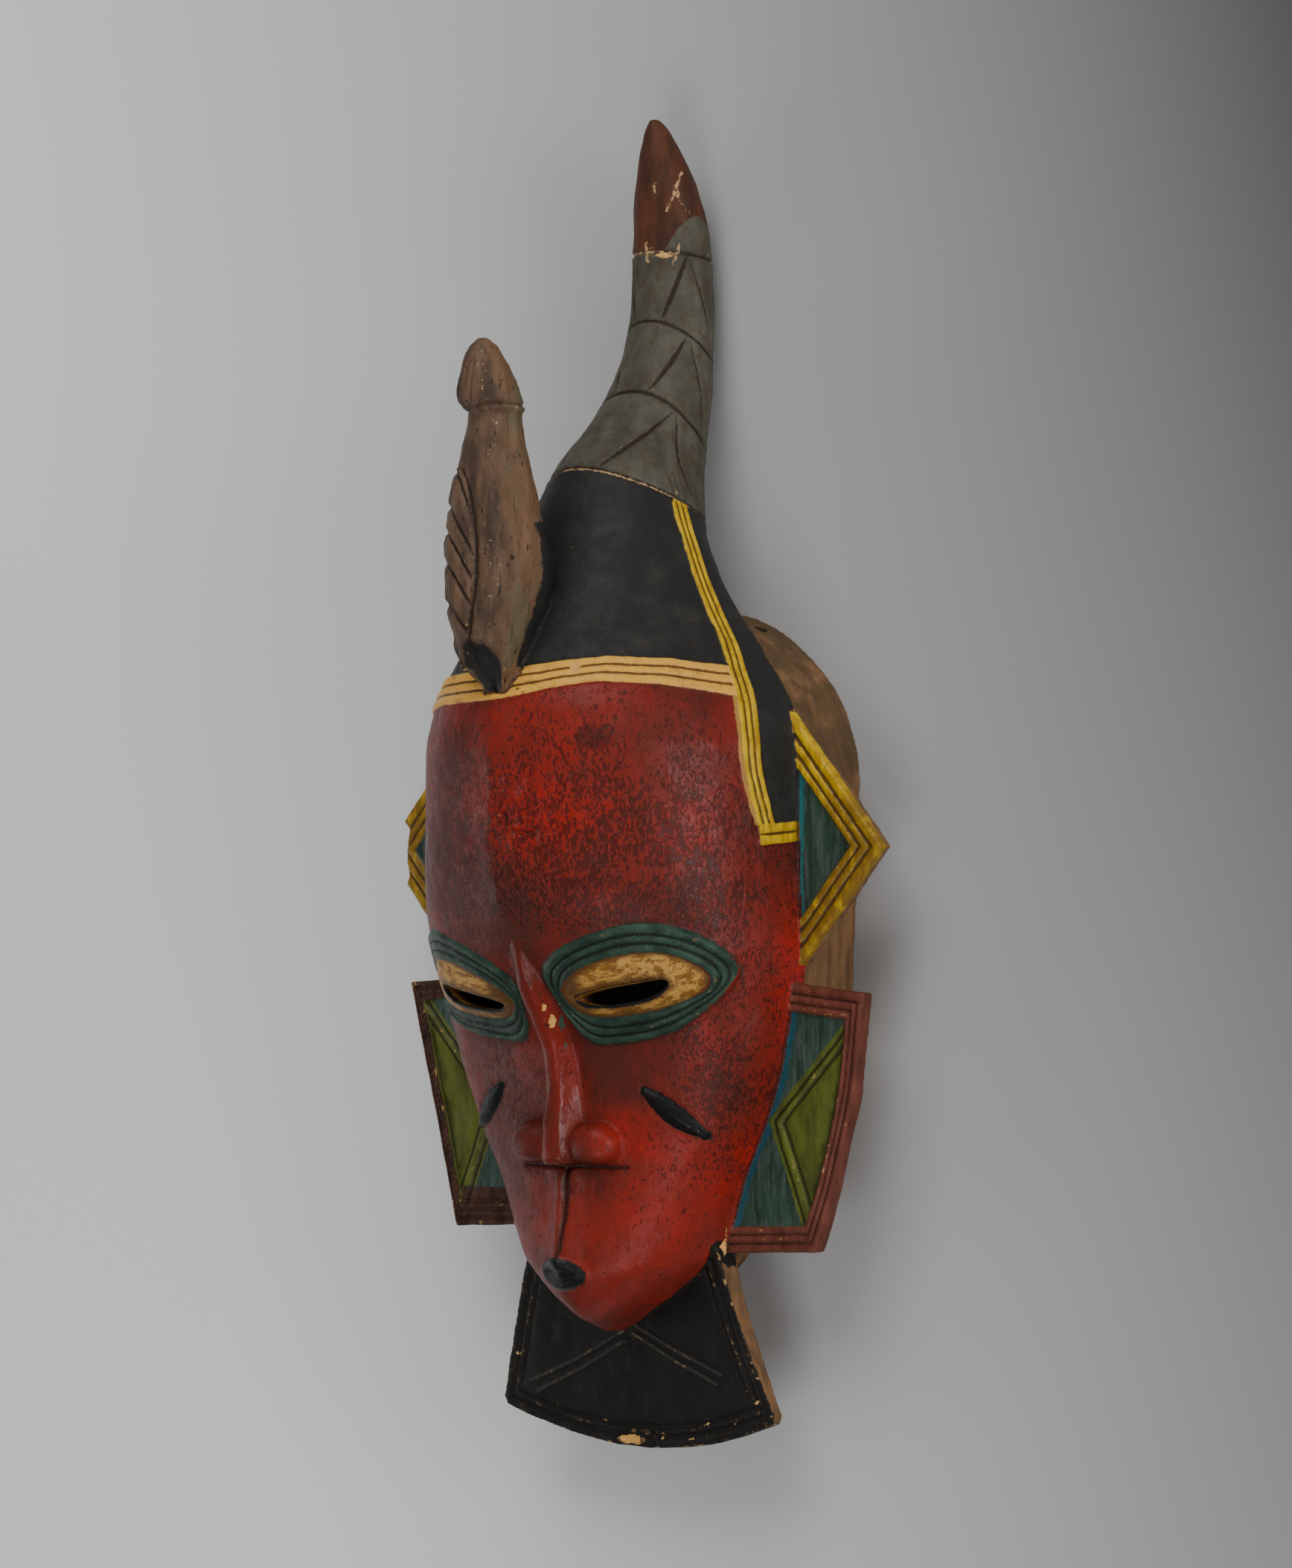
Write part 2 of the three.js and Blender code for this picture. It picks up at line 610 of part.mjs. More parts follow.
function scar(side) {
  const places = rows(0, 1, 6).map((share) => onFace(
    side * THREE.MathUtils.lerp(SCAR.from[0], SCAR.to[0], share),
    THREE.MathUtils.lerp(SCAR.from[1], SCAR.to[1], share)));
  const taper = (share) => 0.12 + 0.88 * Math.sin(Math.PI * share) ** 0.7;
  return strip(places, bead(SCAR.width, SCAR.rise), { taper });
}

// Ribs across the brow under the hair
function hairline() {
  const reach = HAIRLINE[HAIRLINE.length - 1][0];
  const places = rows(-reach, reach, 12).map((x) => onFace(
    x, along(x < 0 ? LEFT_HAIRLINE : HAIRLINE, Math.abs(x), 1)));
  return strip(places, ribs(3, BAND_PITCH, BAND_RISE));
}

// Ribs up the side of the hair, and two short ones back to the ear
function sideBand(side) {
  const reach = SIDE_BAND[SIDE_BAND.length - 1][0];
  const upright = rows(SIDE_BAND[0][0], reach, 9).map((y) => onTemple(y, along(SIDE_BAND, y, 1), side));
  const temple = [TEMPLE_BAND.to, TEMPLE_BAND.from].map((z) => onTemple(TEMPLE_BAND.y, z, side));
  return [
    strip(upright, ribs(3, SIDE_BAND_PITCH, BAND_RISE)),
    strip(temple, ribs(2, BAND_PITCH, BAND_RISE)),
  ];
}

// Slanted cuts on both flanks of the horn, one between each pair of rings
function hornCuts() {
  return HORN_RINGS.slice(0, 3).flatMap((lower, i) => bothSides((side) => [
    strip(rows(0.07, 0.92, 2).map((share) => {
      const angle = radians(THREE.MathUtils.lerp(CHEVRON.front, CHEVRON.apex, share) * side);
      const low = ringHeight(lower, angle);
      return onHead(THREE.MathUtils.lerp(low, ringHeight(HORN_RINGS[i + 1], angle), share), angle);
    }), notch(1.4, 0.5)),
  ]));
}

// Point of the bird's body at a height and an angle round its section, 0 in front
function birdPoint(y, angle) {
  const [half, back, belly] = [1, 2, 3].map((column) => along(BIRD, y, column));
  const middle = Math.max((back + belly) / 2, back - half * 1.25);
  const c = Math.cos(angle);
  const reach = c > 0 ? back - middle : middle - belly;
  return new THREE.Vector3(half * Math.sin(angle), y, middle + reach * c);
}

function onBird(y, angle) {
  const step = 0.02;
  const up = birdPoint(y + 1, angle).sub(birdPoint(y - 1, angle));
  const round = birdPoint(y, angle + step).sub(birdPoint(y, angle - step));
  return { point: birdPoint(y, angle), normal: round.cross(up).normalize() };
}

function bird() {
  const heights = [...rows(BIRD[0][0], 141, 9), 142, 150, 157.5, 163.5, 167.5, 169.5];
  const body = loft(heights.map((y) => rows(0, 360, BIRD_STEPS).slice(0, BIRD_STEPS)
    .map((angle) => birdPoint(y, radians(angle)))));
  const beak = loft([BEAK.from, BEAK.to].map(([y, z], i) => rows(0, 360, 8).slice(0, 8).map((angle) => {
    const radius = i === 0 ? BEAK.radius : 0.6;
    return new THREE.Vector3(
      radius * Math.cos(radians(angle)), y + radius * Math.sin(radians(angle)), z);
  })));
  return [body, beak];
}

// Half opening of the wing at a height, as an angle round the body
function wingReach(y) {
  const up = y > WING.widestY;
  const share = up
    ? (y - WING.widestY) / (WING.top - WING.widestY)
    : (WING.widestY - y) / (WING.widestY - WING.bottom);
  const half = (WING.inner - WING.outer) / 2;
  return half * Math.sqrt(Math.max(0, 1 - share ** 2.2));
}

// Folded wing, carved on the bird's left flank alone
function wing() {
  const middle = (WING.inner + WING.outer) / 2;
  const rings = rows(WING.bottom + 0.5, WING.top - 0.5, 9).map((y) => {
    const reach = Math.max(wingReach(y), 2);
    const outer = rows(-1, 1, 4).map((share) => {
      const place = onBird(y, radians(middle + reach * share));
      const lift = Math.abs(share) > 0.99 ? 0.2 : WING.rise;
      return place.point.addScaledVector(place.normal, lift);
    });
    const inner = rows(1, -1, 2).map((share) => {
      const place = onBird(y, radians(middle + reach * share * 0.9));
      return place.point.addScaledVector(place.normal, -ROOT);
    });
    return [...outer, ...inner];
  });
  return loft(rings);
}

function feathers() {
  const middle = (WING.inner + WING.outer) / 2;
  return rows(WING.bottom + 12, WING.top - 18, FEATHERS - 1).map((y) => {
    const places = rows(-0.8, 0.8, 2).map((share) => {
      const height = y + WING.slant * share;
      const place = onBird(height, radians(middle + wingReach(height) * share));
      place.point.addScaledVector(place.normal, WING.rise);
      return place;
    });
    return strip(places, notch(GROOVE.width, GROOVE.depth));
  });
}

// Groove beside the ridge between nose and mouth
function lipGroove() {
  const places = rows(-184, -152, 4).map((y) => onFace(3.2, y));
  return strip(places, notch(2, 1.4));
}

function join(pieces) {
  return pieces.reduce((whole, piece) => whole.add(piece));
}

// Geometry of a solid, with points closer than the weld made one
function welded({ vertProperties, triVerts }) {
  const raw = new THREE.BufferGeometry();
  raw.setAttribute('position', new THREE.BufferAttribute(new Float32Array(vertProperties), 3));
  raw.setIndex(new THREE.BufferAttribute(new Uint32Array(triVerts), 1));
  const geometry = mergeVertices(raw, WELD);
  const corners = geometry.index.array;
  const kept = [];
  for (let i = 0; i < corners.length; i += 3) {
    const [a, b, c] = corners.slice(i, i + 3);
    if (a !== b && b !== c && c !== a) kept.push(a, b, c);
  }
  geometry.setIndex(kept);
  return geometry;
}

function mask() {
  const wood = join([
    head(), rearWall(), beard(), nose(), mouth(), wing(),
    ...bird(), hairline(), ...upperEars(),
    ...earPlate(LEFT_LOWER_EAR, -1), ...earPlate(RIGHT_LOWER_EAR, 1),
    ...bothSides((side) => [
      ...earLeaf(side), nostril(side), ...eye(side), scar(side), ...sideBand(side),
    ]),
  ]);
  const cuts = join([
    hollow(), lipGroove(), ...beardGrooves(), ...hornCuts(), ...feathers(),
    ...bothSides((side) => [eyeSlit(side), cordHole(side)]),
  ]);
  const geometry = welded(wood.subtract(cuts).getMesh());
  geometry.translate(0, 0, RIM_DEPTH);
  geometry.computeVertexNormals();
  return geometry;
}

const paintedWood = new THREE.MeshStandardMaterial({ color: 0x7a1d14, roughness: 0.5, metalness: 0 });
const group = new THREE.Group();
const whole = new THREE.Mesh(mask(), paintedWood);
whole.name = 'mask';
group.add(whole);

export default group;
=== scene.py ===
import json
from math import cos, pi, radians, sin

import bpy
import numpy as np
from bpy.props import FloatProperty, FloatVectorProperty, PointerProperty
from mathutils import Matrix, Vector

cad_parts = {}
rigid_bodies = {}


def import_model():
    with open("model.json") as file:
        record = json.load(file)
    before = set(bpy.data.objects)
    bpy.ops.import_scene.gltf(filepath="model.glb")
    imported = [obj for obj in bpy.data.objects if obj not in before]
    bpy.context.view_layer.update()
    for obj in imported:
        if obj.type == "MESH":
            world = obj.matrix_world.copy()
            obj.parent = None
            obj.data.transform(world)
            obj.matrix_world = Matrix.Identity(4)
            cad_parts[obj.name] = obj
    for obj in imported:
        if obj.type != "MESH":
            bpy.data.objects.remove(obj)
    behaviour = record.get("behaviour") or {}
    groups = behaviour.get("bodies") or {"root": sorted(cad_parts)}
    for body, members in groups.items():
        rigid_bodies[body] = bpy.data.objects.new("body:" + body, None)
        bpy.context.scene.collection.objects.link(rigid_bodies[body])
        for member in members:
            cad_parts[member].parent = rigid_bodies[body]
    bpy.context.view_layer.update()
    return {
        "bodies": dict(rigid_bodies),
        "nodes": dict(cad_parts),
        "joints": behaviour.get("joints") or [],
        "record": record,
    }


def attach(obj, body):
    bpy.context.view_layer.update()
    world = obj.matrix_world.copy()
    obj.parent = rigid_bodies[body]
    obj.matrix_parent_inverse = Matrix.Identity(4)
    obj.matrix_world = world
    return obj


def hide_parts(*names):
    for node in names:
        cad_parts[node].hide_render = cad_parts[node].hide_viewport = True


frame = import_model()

bl_info = {
    "name": "Guro Face Mask",
    "version": (1, 0, 0),
    "blender": (4, 5, 0),
    "location": "View3D > Sidebar > Mask",
    "description": "Carves, paints and lights a hollow wooden face mask with horn, bird and ear plates",
    "category": "Add Mesh",
}

# Sizes below are millimetres in the carver's frame: x across the face, y up it, and z out of it
# from the plane where the sides of the face begin. Blender's metres come in when a mesh is made.
MM = 0.001
RIM_DEPTH = 36.0
CAMERA_TURN = 40.0
CHIN_Y, HORN_TIP_Y, BEARD_TIP_Y = -213.0, 260.0, -260.0

# Head: height, half width, depth of the front, depth of the back, fullness of the front arc
HEAD = np.array([
    [CHIN_Y, 2, 22, 12, 2],
    [-206, 11, 38, 6, 2.1],
    [-197, 27, 44.5, 0, 2.2],
    [-184, 45, 47, -4, 2.1],
    [-150, 58, 45, -6, 3.1],
    [-129, 68, 45, -6, 3.7],
    [-105, 76, 48.5, -6, 3.8],
    [-83, 80, 62.5, -6, 2.8],
    [-62, 82, 76, -6, 2.5],
    [-40, 80.5, 85, -6, 2.4],
    [-16, 80, 87, -6, 2.25],
    [12, 79.5, 89, -6, 2.12],
    [27, 76.5, 88, -6, 2],
    [46, 65, 82, -8, 2],
    [66, 50, 69, -12, 2.2],
    [92, 37, 54, -16, 2.5],
    [122, 25.5, 40, -26, 2.5],
    [139, 22.5, 21, -28, 2.4],
    [153, 21, 8, -29.5, 2.3],
    [168, 18.5, 1.5, -32, 2.2],
    [184, 17, -2.4, -34, 2.1],
    [214, 15.5, -3, -32, 2],
    [232, 12.5, -2, -27, 2],
    [246, 8.5, -2.5, -20, 2],
    [256, 4.5, -4, -13, 2],
    [HORN_TIP_Y, 1.5, -5, -9, 2],
])
ROUND_FROM_Y, ROUND_TO_Y = 50.0, 120.0
CREST = {"top": 38, "bottom": -62, "fade": 20, "height": 2.5, "half": 12.5}
MUZZLE = {"top": -144, "bottom": -195, "fade": 9, "height": 5.5, "half": 9}

# Rear wall and hollow
ARCH_HALF, ARCH_HEIGHT, ARCH_Y, WALL_TAPER = 80.0, 70.0, -1.0, 0.045
WALL_FRONT, WALL_BOTTOM_Y = 2.0, -196.0
HEEL_FROM, HEEL_TO, HEEL_DEPTH = -118.0, -188.0, -11.0
SIDE_WALL, FACE_WALL = 10.0, 12.0
HOLLOW_TOP_Y, HOLLOW_BOTTOM_Y = 59.5, -192.0
CORD_HOLE = {"x": 39, "y": 60, "z": -25, "radius": 2.2, "length": 34}

# Ear plates, drawn for the right-hand side, with a frame along every edge but the one at the head
EAR_THICKNESS, PANEL_SINK = 6.5, 1.5
FRAME_WIDTH = 11.6
UPPER_FRONT, LOWER_FRONT = 4.0, 8.0
RIGHT_UPPER = [(60, 47), (121.5, -24), (60, -95)]
LEFT_UPPER = [(60, 57), (133, -27.2), (60, -111)]
LEFT_TIP_LOSS = [(120.2, -18), (121.5, -28), (120, -38)]
LEFT_LOSS_TOP_Y, LEFT_LOSS_BOTTOM_Y = -15.5, -40.5
LEFT_LOWER = [(66, -75.5), (115.4, -79.8), (90.7, -176.5), (34, -173.5)]
RIGHT_LOWER = [(66, -75.5), (115.4, -79.8), (111, -118), (100.6, -156), (92, -179.2), (34, -182.2)]
LEFT_LEAF = [(-108.5, -89), (-73, -128), (-89, -167)]
RIGHT_LEAF = [(109.5, -93), (73.5, -130), (91, -173)]

# Beard plate, leaning back towards its lower edge; each side has its corner's reach and its waist
BEARD = {"topY": -178, "topHalf": 47, "cornerY": -246, "left": (71.5, -0.8), "right": (67.5, 1.6),
         "topFront": 13, "tipFront": -1, "topThickness": 11, "tipThickness": 5}

BEARD_LINES = [[(-4, -214), (-30, -226.5), (-55, -236.5)], [(-4, -218), (-28, -230), (-52, -240.5)],
               [(1, -211), (22, -220.5), (43, -229)], [(1, -215), (20, -224), (40, -232.5)]]

# Nose: height, depth of the ridge, half width of the ridge, half width of the foot
NOSE = np.array([
    [-147, 54.6, 4.4, 11],
    [-143.6, 56.4, 4.6, 11.5],
    [-136, 56.4, 4.2, 11],
    [-120, 54.8, 3.6, 9.5],
    [-104, 56.6, 3.6, 9],
    [-92, 63, 3.6, 9.5],
    [-80, 70.6, 3.4, 10],
    [-68, 75.0, 2.6, 9],
    [-58, 77.6, 2.0, 7.5],
    [-48, 80.4, 1.2, 6],
])
NOSTRIL = {"x": 14, "y": -138.5, "z": 44.5, "half": (11.6, 8.2, 9.6)}
MOUTH_X, MOUTH_Y, MOUTH_HALF, MOUTH_TALL = -2.2, -189.5, 11.8, 6.5
NOSE_FOOT_Y = -147.8
PHILTRUM = [(-0.4, -184), (0.9, -175), (1.9, -166), (2.1, -157), (1.4, -149)]

# Eyes, drawn for the right-hand side
EYE_RING = [(8, -77.5), (15, -68.5), (30, -61.3), (51, -55.6), (66.5, -58.8), (75.8, -71), (69.5, -84),
            (55, -95.5), (33, -101), (15, -99.5)]
EYE_LID = [(13, -83), (20.5, -75.6), (34, -69.8), (51, -66), (62.5, -67.6), (69.5, -75), (65, -82.5),
           (51, -88.3), (32, -91.4), (19, -90.2)]
EYE_SLIT = [(19, -84), (30, -80.8), (43, -78.3), (54, -76.5), (58, -77.5), (54, -81.5), (46, -84.8),
            (34, -86.6), (23, -86.6)]
EYE_MIDDLE = (38.0, -79.5)
EYE_LIFT, LEFT_EYE_FLAT = 2.0, 0.18
SCAR = ((36.6, -118), (56.5, -134.4))
SCAR_WIDTH = 7.4

# Hair bands, and the rings round the horn as height in front and fall towards the back
HAIRLINE = np.array([[0, 37.2], [20, 41.3], [38, 43.4], [54, 42.5], [67, 39], [80, 34.5]])
LEFT_HAIRLINE = np.array([[0, 37.2], [20, 37], [38, 35.5], [54, 33.5], [67, 31], [80, 28]])
SIDE_BAND = np.array([[-20, 19.3], [12, 26.7], [24, 25.7], [40, 22.2], [60, 16.6], [80, 16], [116, 14]])
TEMPLE_Y, TEMPLE_FROM = -19.5, 20.5
HORN_RINGS = [(122, 26), (153, 28), (181, 22), (208, 4)]
CHEVRON = {"front": 20, "apex": 62, "back": 112}

# Bird: height, half width, depth of its back, depth of its belly
BIRD = np.array([
    [35, 4, 90.5, 82],
    [45, 9, 98, 76],
    [56.5, 13, 104, 69],
    [70, 16.8, 106.5, 63],
    [85.5, 18.8, 107, 62],
    [95, 18.2, 106.3, 67],
    [105, 16.6, 105, 70.5],
    [120.5, 13.6, 102, 74],
    [141, 10.4, 98, 77.5],
    [142, 11.8, 99.5, 76],
    [150, 11, 102.5, 79],
    [157.5, 9.2, 103, 83.5],
    [165.5, 5.5, 100.5, 88.5],
    [169.5, 1.5, 96.5, 93.5],
])
WING = {"top": 120, "bottom": 44, "inner": 16, "outer": -84, "widest": 85}
KEEL_TURN = 40.0
FEATHERS = [(-69, 113.5, -3), (-73.1, 104.7, -2.05), (-73.7, 94.2, -1.87), (-73.7, 82.4, -1.76),
            (-74.3, 69.5, -1.55)]
BIRD_FOOT_Y, BIRD_MARGIN = 34.2, 1.5

# Marks of wear. Chips are placed across the sight line and up the mask, with reaches and depth
PATCH = (13, -16, 16, 20)
BLEMISH = (40, -27, 3.0, 1.8)
CHIPS = [(-37.8, -86, 0.9, 1.1, 0.3), (-34.8, -91.5, 1.1, 2.1, 0.35), (-4.6, -257.2, 4.2, 1.6, 0.8),
         (54.4, -247, 2.0, 3.6, 0.5),
         (96, -24, 1.6, 3.4, 0.3), (8.6, 206.6, 2.6, 0.7, 0.2), (-26, 44, 1.6, 2.0, 0.4)]
HEM_NOTCH_X = 5.7
JAW_WEAR = [(33.4, -164), (32, -175), (29.6, -182), (25.6, -187), (19, -192)]
DABS = [(-31.2, -92, 0.9, 2.2), (-29.7, -100.7, 0.6, 1.0)]
CRACKS = [[(15.5, 240), (9.5, 224)], [(12.6, 233), (14.6, 227), (19.5, 221.5)],
          [(14.8, 211.5), (11.2, 201.5)], [(1.2, 213), (2.0, 204)], [(4.5, 236), (4.9, 228)],
          [(6.8, 207.5), (9.6, 206.5)]]
SMUDGE = (39.5, 17.5, 5.6, 4.4)

# Places over the face, as x, y, reach across, reach up and strength: where the red is fresh, and
# where it is flecked with dark pits
BRIGHT = [(22, 10, 34, 26, 0.7), (18, -20, 22, 24, 0.5), (42, -150, 16, 24, 0.9),
          (24, -132, 9, 10, 0.9), (4, -110, 5, 22, 0.5), (30, -175, 20, 18, 0.4),
          (-30, -20, 30, 40, -0.3), (-34, -120, 20, 50, -0.45), (20, -112, 12, 14, -0.5),
          (10, -155, 10, 9, -0.5), (30, -52, 40, 14, -0.45)]
FLECKED = [(30, -5, 48, 40, 1.0), (62, -60, 26, 60, 0.85), (-40, -20, 40, 60, 0.9), (40, -150, 40, 40, 0.35),
           (20, -40, 60, 18, 0.8), (-35, -130, 26, 50, 0.6), (66, -110, 14, 40, 0.7)]

# Stage: way, reach and tones of the shade painted into the floor's colour, darker along its way, the camera's
# aim and distance in millimetres, its angle of view, and the lamps' places and sizes in metres
FLOOR_PAINTED_SHADE = {"way": (0.9, 0.30, 0), "reach": (-0.30, 0.36), "tones": (0.93, 0.080)}
AIM = (0.92, -0.3, 35.23)
DISTANCE = 2600.0
VIEW_ANGLE = 13.46
LIGHTS = [
    ("upper window", (0.5, 1.9, 1.6), 1.6, 34),
    ("lower window", (0.8, -1.3, 1.9), 1.2, 15),
    ("side window", (2.4, 0.1, 0.55), 1.0, 28),
    ("left window", (-1.9, -0.6, 0.9), 1.1, 7),
]
FLOOR_REACH, SKY = 4.0, 0.22

# Depths, in millimetres, of points plainly outside a finish and plainly inside it, and the
# finishes that are gathered from several places
OUTSIDE, SURE = -9.0, 3.0
GATHERED = ("ring", "lid", "lash", "mark", "panel", "olive", "frame", "dull", "left", "shaded_walls", "plated",
            "lines", "chips", "dabs", "cracks")


def smoothstep(low, high, value):
    share = np.clip((value - low) / (high - low), 0, 1)
    return share * share * (3 - 2 * share)


def along(table, key, column):
    """Smooth interpolation down one column of a table, which never overshoots its rows."""
    x, v = table[:, 0], table[:, column]
    slope = np.diff(v) / np.diff(x)
    tangent = np.empty(len(x))
    tangent[0], tangent[-1] = slope[0], slope[-1]
    product = slope[:-1] * slope[1:]
    total = slope[:-1] + slope[1:]
    tangent[1:-1] = np.where(product > 0, 2 * product / np.where(product > 0, total, 1), 0)
    place = np.clip(key, x[0], x[-1])
    row = np.clip(np.searchsorted(x, place, side="right") - 1, 0, len(x) - 2)
    width = x[row + 1] - x[row]
    s = (place - x[row]) / width
    start = v[row] * (1 + 2 * s) * (1 - s) ** 2
    end = v[row + 1] * s * s * (3 - 2 * s)
    return start + end + s * (1 - s) * (tangent[row] * (1 - s) - tangent[row + 1] * s) * width


def between(y, shape):
    rise = smoothstep(shape["bottom"], shape["bottom"] + shape["fade"], y)
    return rise * (1 - smoothstep(shape["top"] - shape["fade"], shape["top"], y))


def head_section(y):
    half, front, back, fullness = (along(HEAD, y, column) for column in (1, 2, 3, 4))
    side = np.maximum(smoothstep(ROUND_FROM_Y, ROUND_TO_Y, y) * (front + back) / 2, back)
    return half, front, back, fullness, side


def head_points(y, angle):
    half, front, back, fullness, side = head_section(y)
    x, c = half * np.sin(angle), np.cos(angle)
    crest = CREST["height"] * between(y, CREST) * np.maximum(0, 1 - np.abs(x) / CREST["half"])
    muzzle = MUZZLE["height"] * between(y, MUZZLE) * np.maximum(0, 1 - np.abs(x) / MUZZLE["half"])
    ahead = side + (front - side) * np.maximum(c, 0) ** (2 / fullness) + crest + muzzle
    return np.stack([x, y, np.where(c < 0, side + (side - back) * c, ahead)], -1)


def bird_section(y):
    half, back, belly = (along(BIRD, y, column) for column in (1, 2, 3))
    return half, back, belly, np.maximum((back + belly) / 2, back - half * 1.25)


def bird_points(y, angle):
    half, back, belly, middle = bird_section(y)
    c = np.cos(angle)
    reach = np.where(c > 0, back - middle, middle - belly)
    return np.stack([half * np.sin(angle), y, middle + reach * c], -1)


def grid(heights, angles):
    return np.meshgrid(heights, angles, indexing="ij")


def closed_curve(points, side, count):
    """Closed smooth curve through a few points, even in its own length."""
    p = np.array(points, float) * (side, 1)
    out = []
    for i in range(len(p)):
        a, b, c, d = (p[(i + k) % len(p)] for k in (-1, 0, 1, 2))
        for t in np.linspace(0, 1, 40, endpoint=False):
            out.append(0.5 * (2 * b + (c - a) * t + (2 * a - 5 * b + 4 * c - d) * t ** 2
                              + (3 * b - a - 3 * c + d) * t ** 3))
    out = np.array(out)
    step = np.linalg.norm(np.roll(out, -1, 0) - out, axis=1)
    run = np.concatenate([[0], np.cumsum(step)])
    even = np.linspace(0, run[-1], count, endpoint=False)
    wrapped = np.vstack([out, out[:1]])
    return np.stack([np.interp(even, run, wrapped[:, k]) for k in (0, 1)], -1)


def tube_faces(rings, around, closed=False):
    """Faces of a skin over rings of points, with its two ends capped."""
    faces = []
    for i in range(rings if closed else rings - 1):
        here, there = i * around, (i + 1) % rings * around
        for j in range(around):
            k = (j + 1) % around
            faces.append((here + j, here + k, there + k, there + j))
    if not closed:
        faces.append(tuple(range(around - 1, -1, -1)))
        faces.append(tuple(range((rings - 1) * around, rings * around)))
    return faces


class Block:
    """Shells of the block, gathered until they are joined into one skin."""

    def __init__(self):
        self.points, self.faces, self.count = [], [], 0

    def add(self, rings, closed=False):
        rings = np.asarray(rings, float)
        faces = tube_faces(rings.shape[0], rings.shape[1], closed)
        self.faces += [tuple(v + self.count for v in face) for face in faces]
        self.points.append(rings.reshape(-1, 3))
        self.count += rings.shape[0] * rings.shape[1]

    def plate(self, outline, back, front):
        """Flat plate of an outline; its two depths are numbers or functions of the height."""
        outline = np.array(outline, float)
        rings = []
        for depth in (back, front):
            z = depth(outline[:, 1]) if callable(depth) else np.full(len(outline), depth)
            rings.append(np.column_stack([outline, z]))
        self.add(rings)

    def mesh(self, name):
        made = bpy.data.meshes.new(name)
        made.from_pydata((np.vstack(self.points) + (0, 0, RIM_DEPTH)) * MM, [], self.faces)
        made.validate()
        return made


def link(name, mesh):
    piece = bpy.data.objects.new(name, mesh)
    bpy.context.scene.collection.objects.link(piece)
    return piece


def apply_modifier(piece, kind, **values):
    """Adds one modifier and bakes its result into the piece's mesh."""
    modifier = piece.modifiers.new(kind, kind)
    for key, value in values.items():
        setattr(modifier, key, value)
    evaluated = piece.evaluated_get(bpy.context.evaluated_depsgraph_get())
    mesh = bpy.data.meshes.new_from_object(evaluated)
    piece.modifiers.clear()
    old, piece.data = piece.data, mesh
    bpy.data.meshes.remove(old)


def cut(piece, cutter):
    apply_modifier(piece, "BOOLEAN", operation="DIFFERENCE", solver="MANIFOLD", object=cutter)
    bpy.data.objects.remove(cutter)


def coordinates(mesh):
    co = np.empty(len(mesh.vertices) * 3, np.float32)
    mesh.vertices.foreach_get("co", co)
    return co.reshape(-1, 3).astype(float) / MM - (0, 0, RIM_DEPTH)


def normals(mesh):
    out = np.empty(len(mesh.vertices) * 3, np.float32)
    mesh.vertices.foreach_get("normal", out)
    return out.reshape(-1, 3).astype(float)


def move_to(mesh, p):
    mesh.vertices.foreach_set("co", ((p + (0, 0, RIM_DEPTH)) * MM).astype(np.float32).ravel())
    mesh.update()


def neighbours_mean(mesh, values):
    """Mean of a value over each vertex's neighbours."""
    edges = np.empty(len(mesh.edges) * 2, np.int64)
    mesh.edges.foreach_get("vertices", edges)
    a, b = edges[::2], edges[1::2]
    count = np.bincount(edges, minlength=len(mesh.vertices)).astype(float)
    columns = []
    for column in values.T:
        total = np.bincount(a, column[b], len(count)) + np.bincount(b, column[a], len(count))
        columns.append(total / np.maximum(count, 1))
    return np.stack(columns, -1)


def smooth(mesh, rounds, strength, weight=None):
    p = coordinates(mesh)
    share = strength if weight is None else (weight * strength)[:, None]
    for _ in range(rounds):
        p += (neighbours_mean(mesh, p) - p) * share
    move_to(mesh, p)


def store(mesh, name, values):
    """Keeps one number for each vertex under a name that the finish can read."""
    made = mesh.attributes.get(name) or mesh.attributes.new(name, "FLOAT", "POINT")
    made.data.foreach_set("value", np.asarray(values, np.float32))


def surface_curve(mesh):
    """How far each vertex lies below its surroundings, in millimetres: deep in grooves, less than
    nought on edges."""
    p, n = coordinates(mesh), normals(mesh)
    even = p.copy()
    for _ in range(8):
        even += (neighbours_mean(mesh, even) - even) * 0.7
    return np.sum((even - p) * n, axis=1)


def hash_noise(cells, seed):
    """Even random numbers for the corners of a grid of cells."""
    n = cells[..., 0] * 73856093 ^ cells[..., 1] * 19349663 ^ cells[..., 2] * 83492791 ^ seed * 2654435761
    n = (n ^ (n >> 13)) * 1274126177 & 0xFFFFFFFF
    return ((n ^ (n >> 16)) & 0xFFFF) / 65535.0


def noise(p, size, seed=0):
    """Smooth noise from minus one to one, with lumps of the given size in millimetres."""
    q = p / size
    cell = np.floor(q).astype(np.int64)
    f = q - cell
    f = f * f * (3 - 2 * f)
    total = np.zeros(len(p))
    for corner in np.ndindex(2, 2, 2):
        w = np.prod(np.where(corner, f, 1 - f), axis=1)
        total += w * hash_noise(cell + corner, seed)
    return total * 2 - 1


def groove(distance, width, depth):
    """Cut of a V with soft shoulders, by the distance from its middle."""
    return -depth * np.exp(-(distance / (width * 0.42)) ** 2)


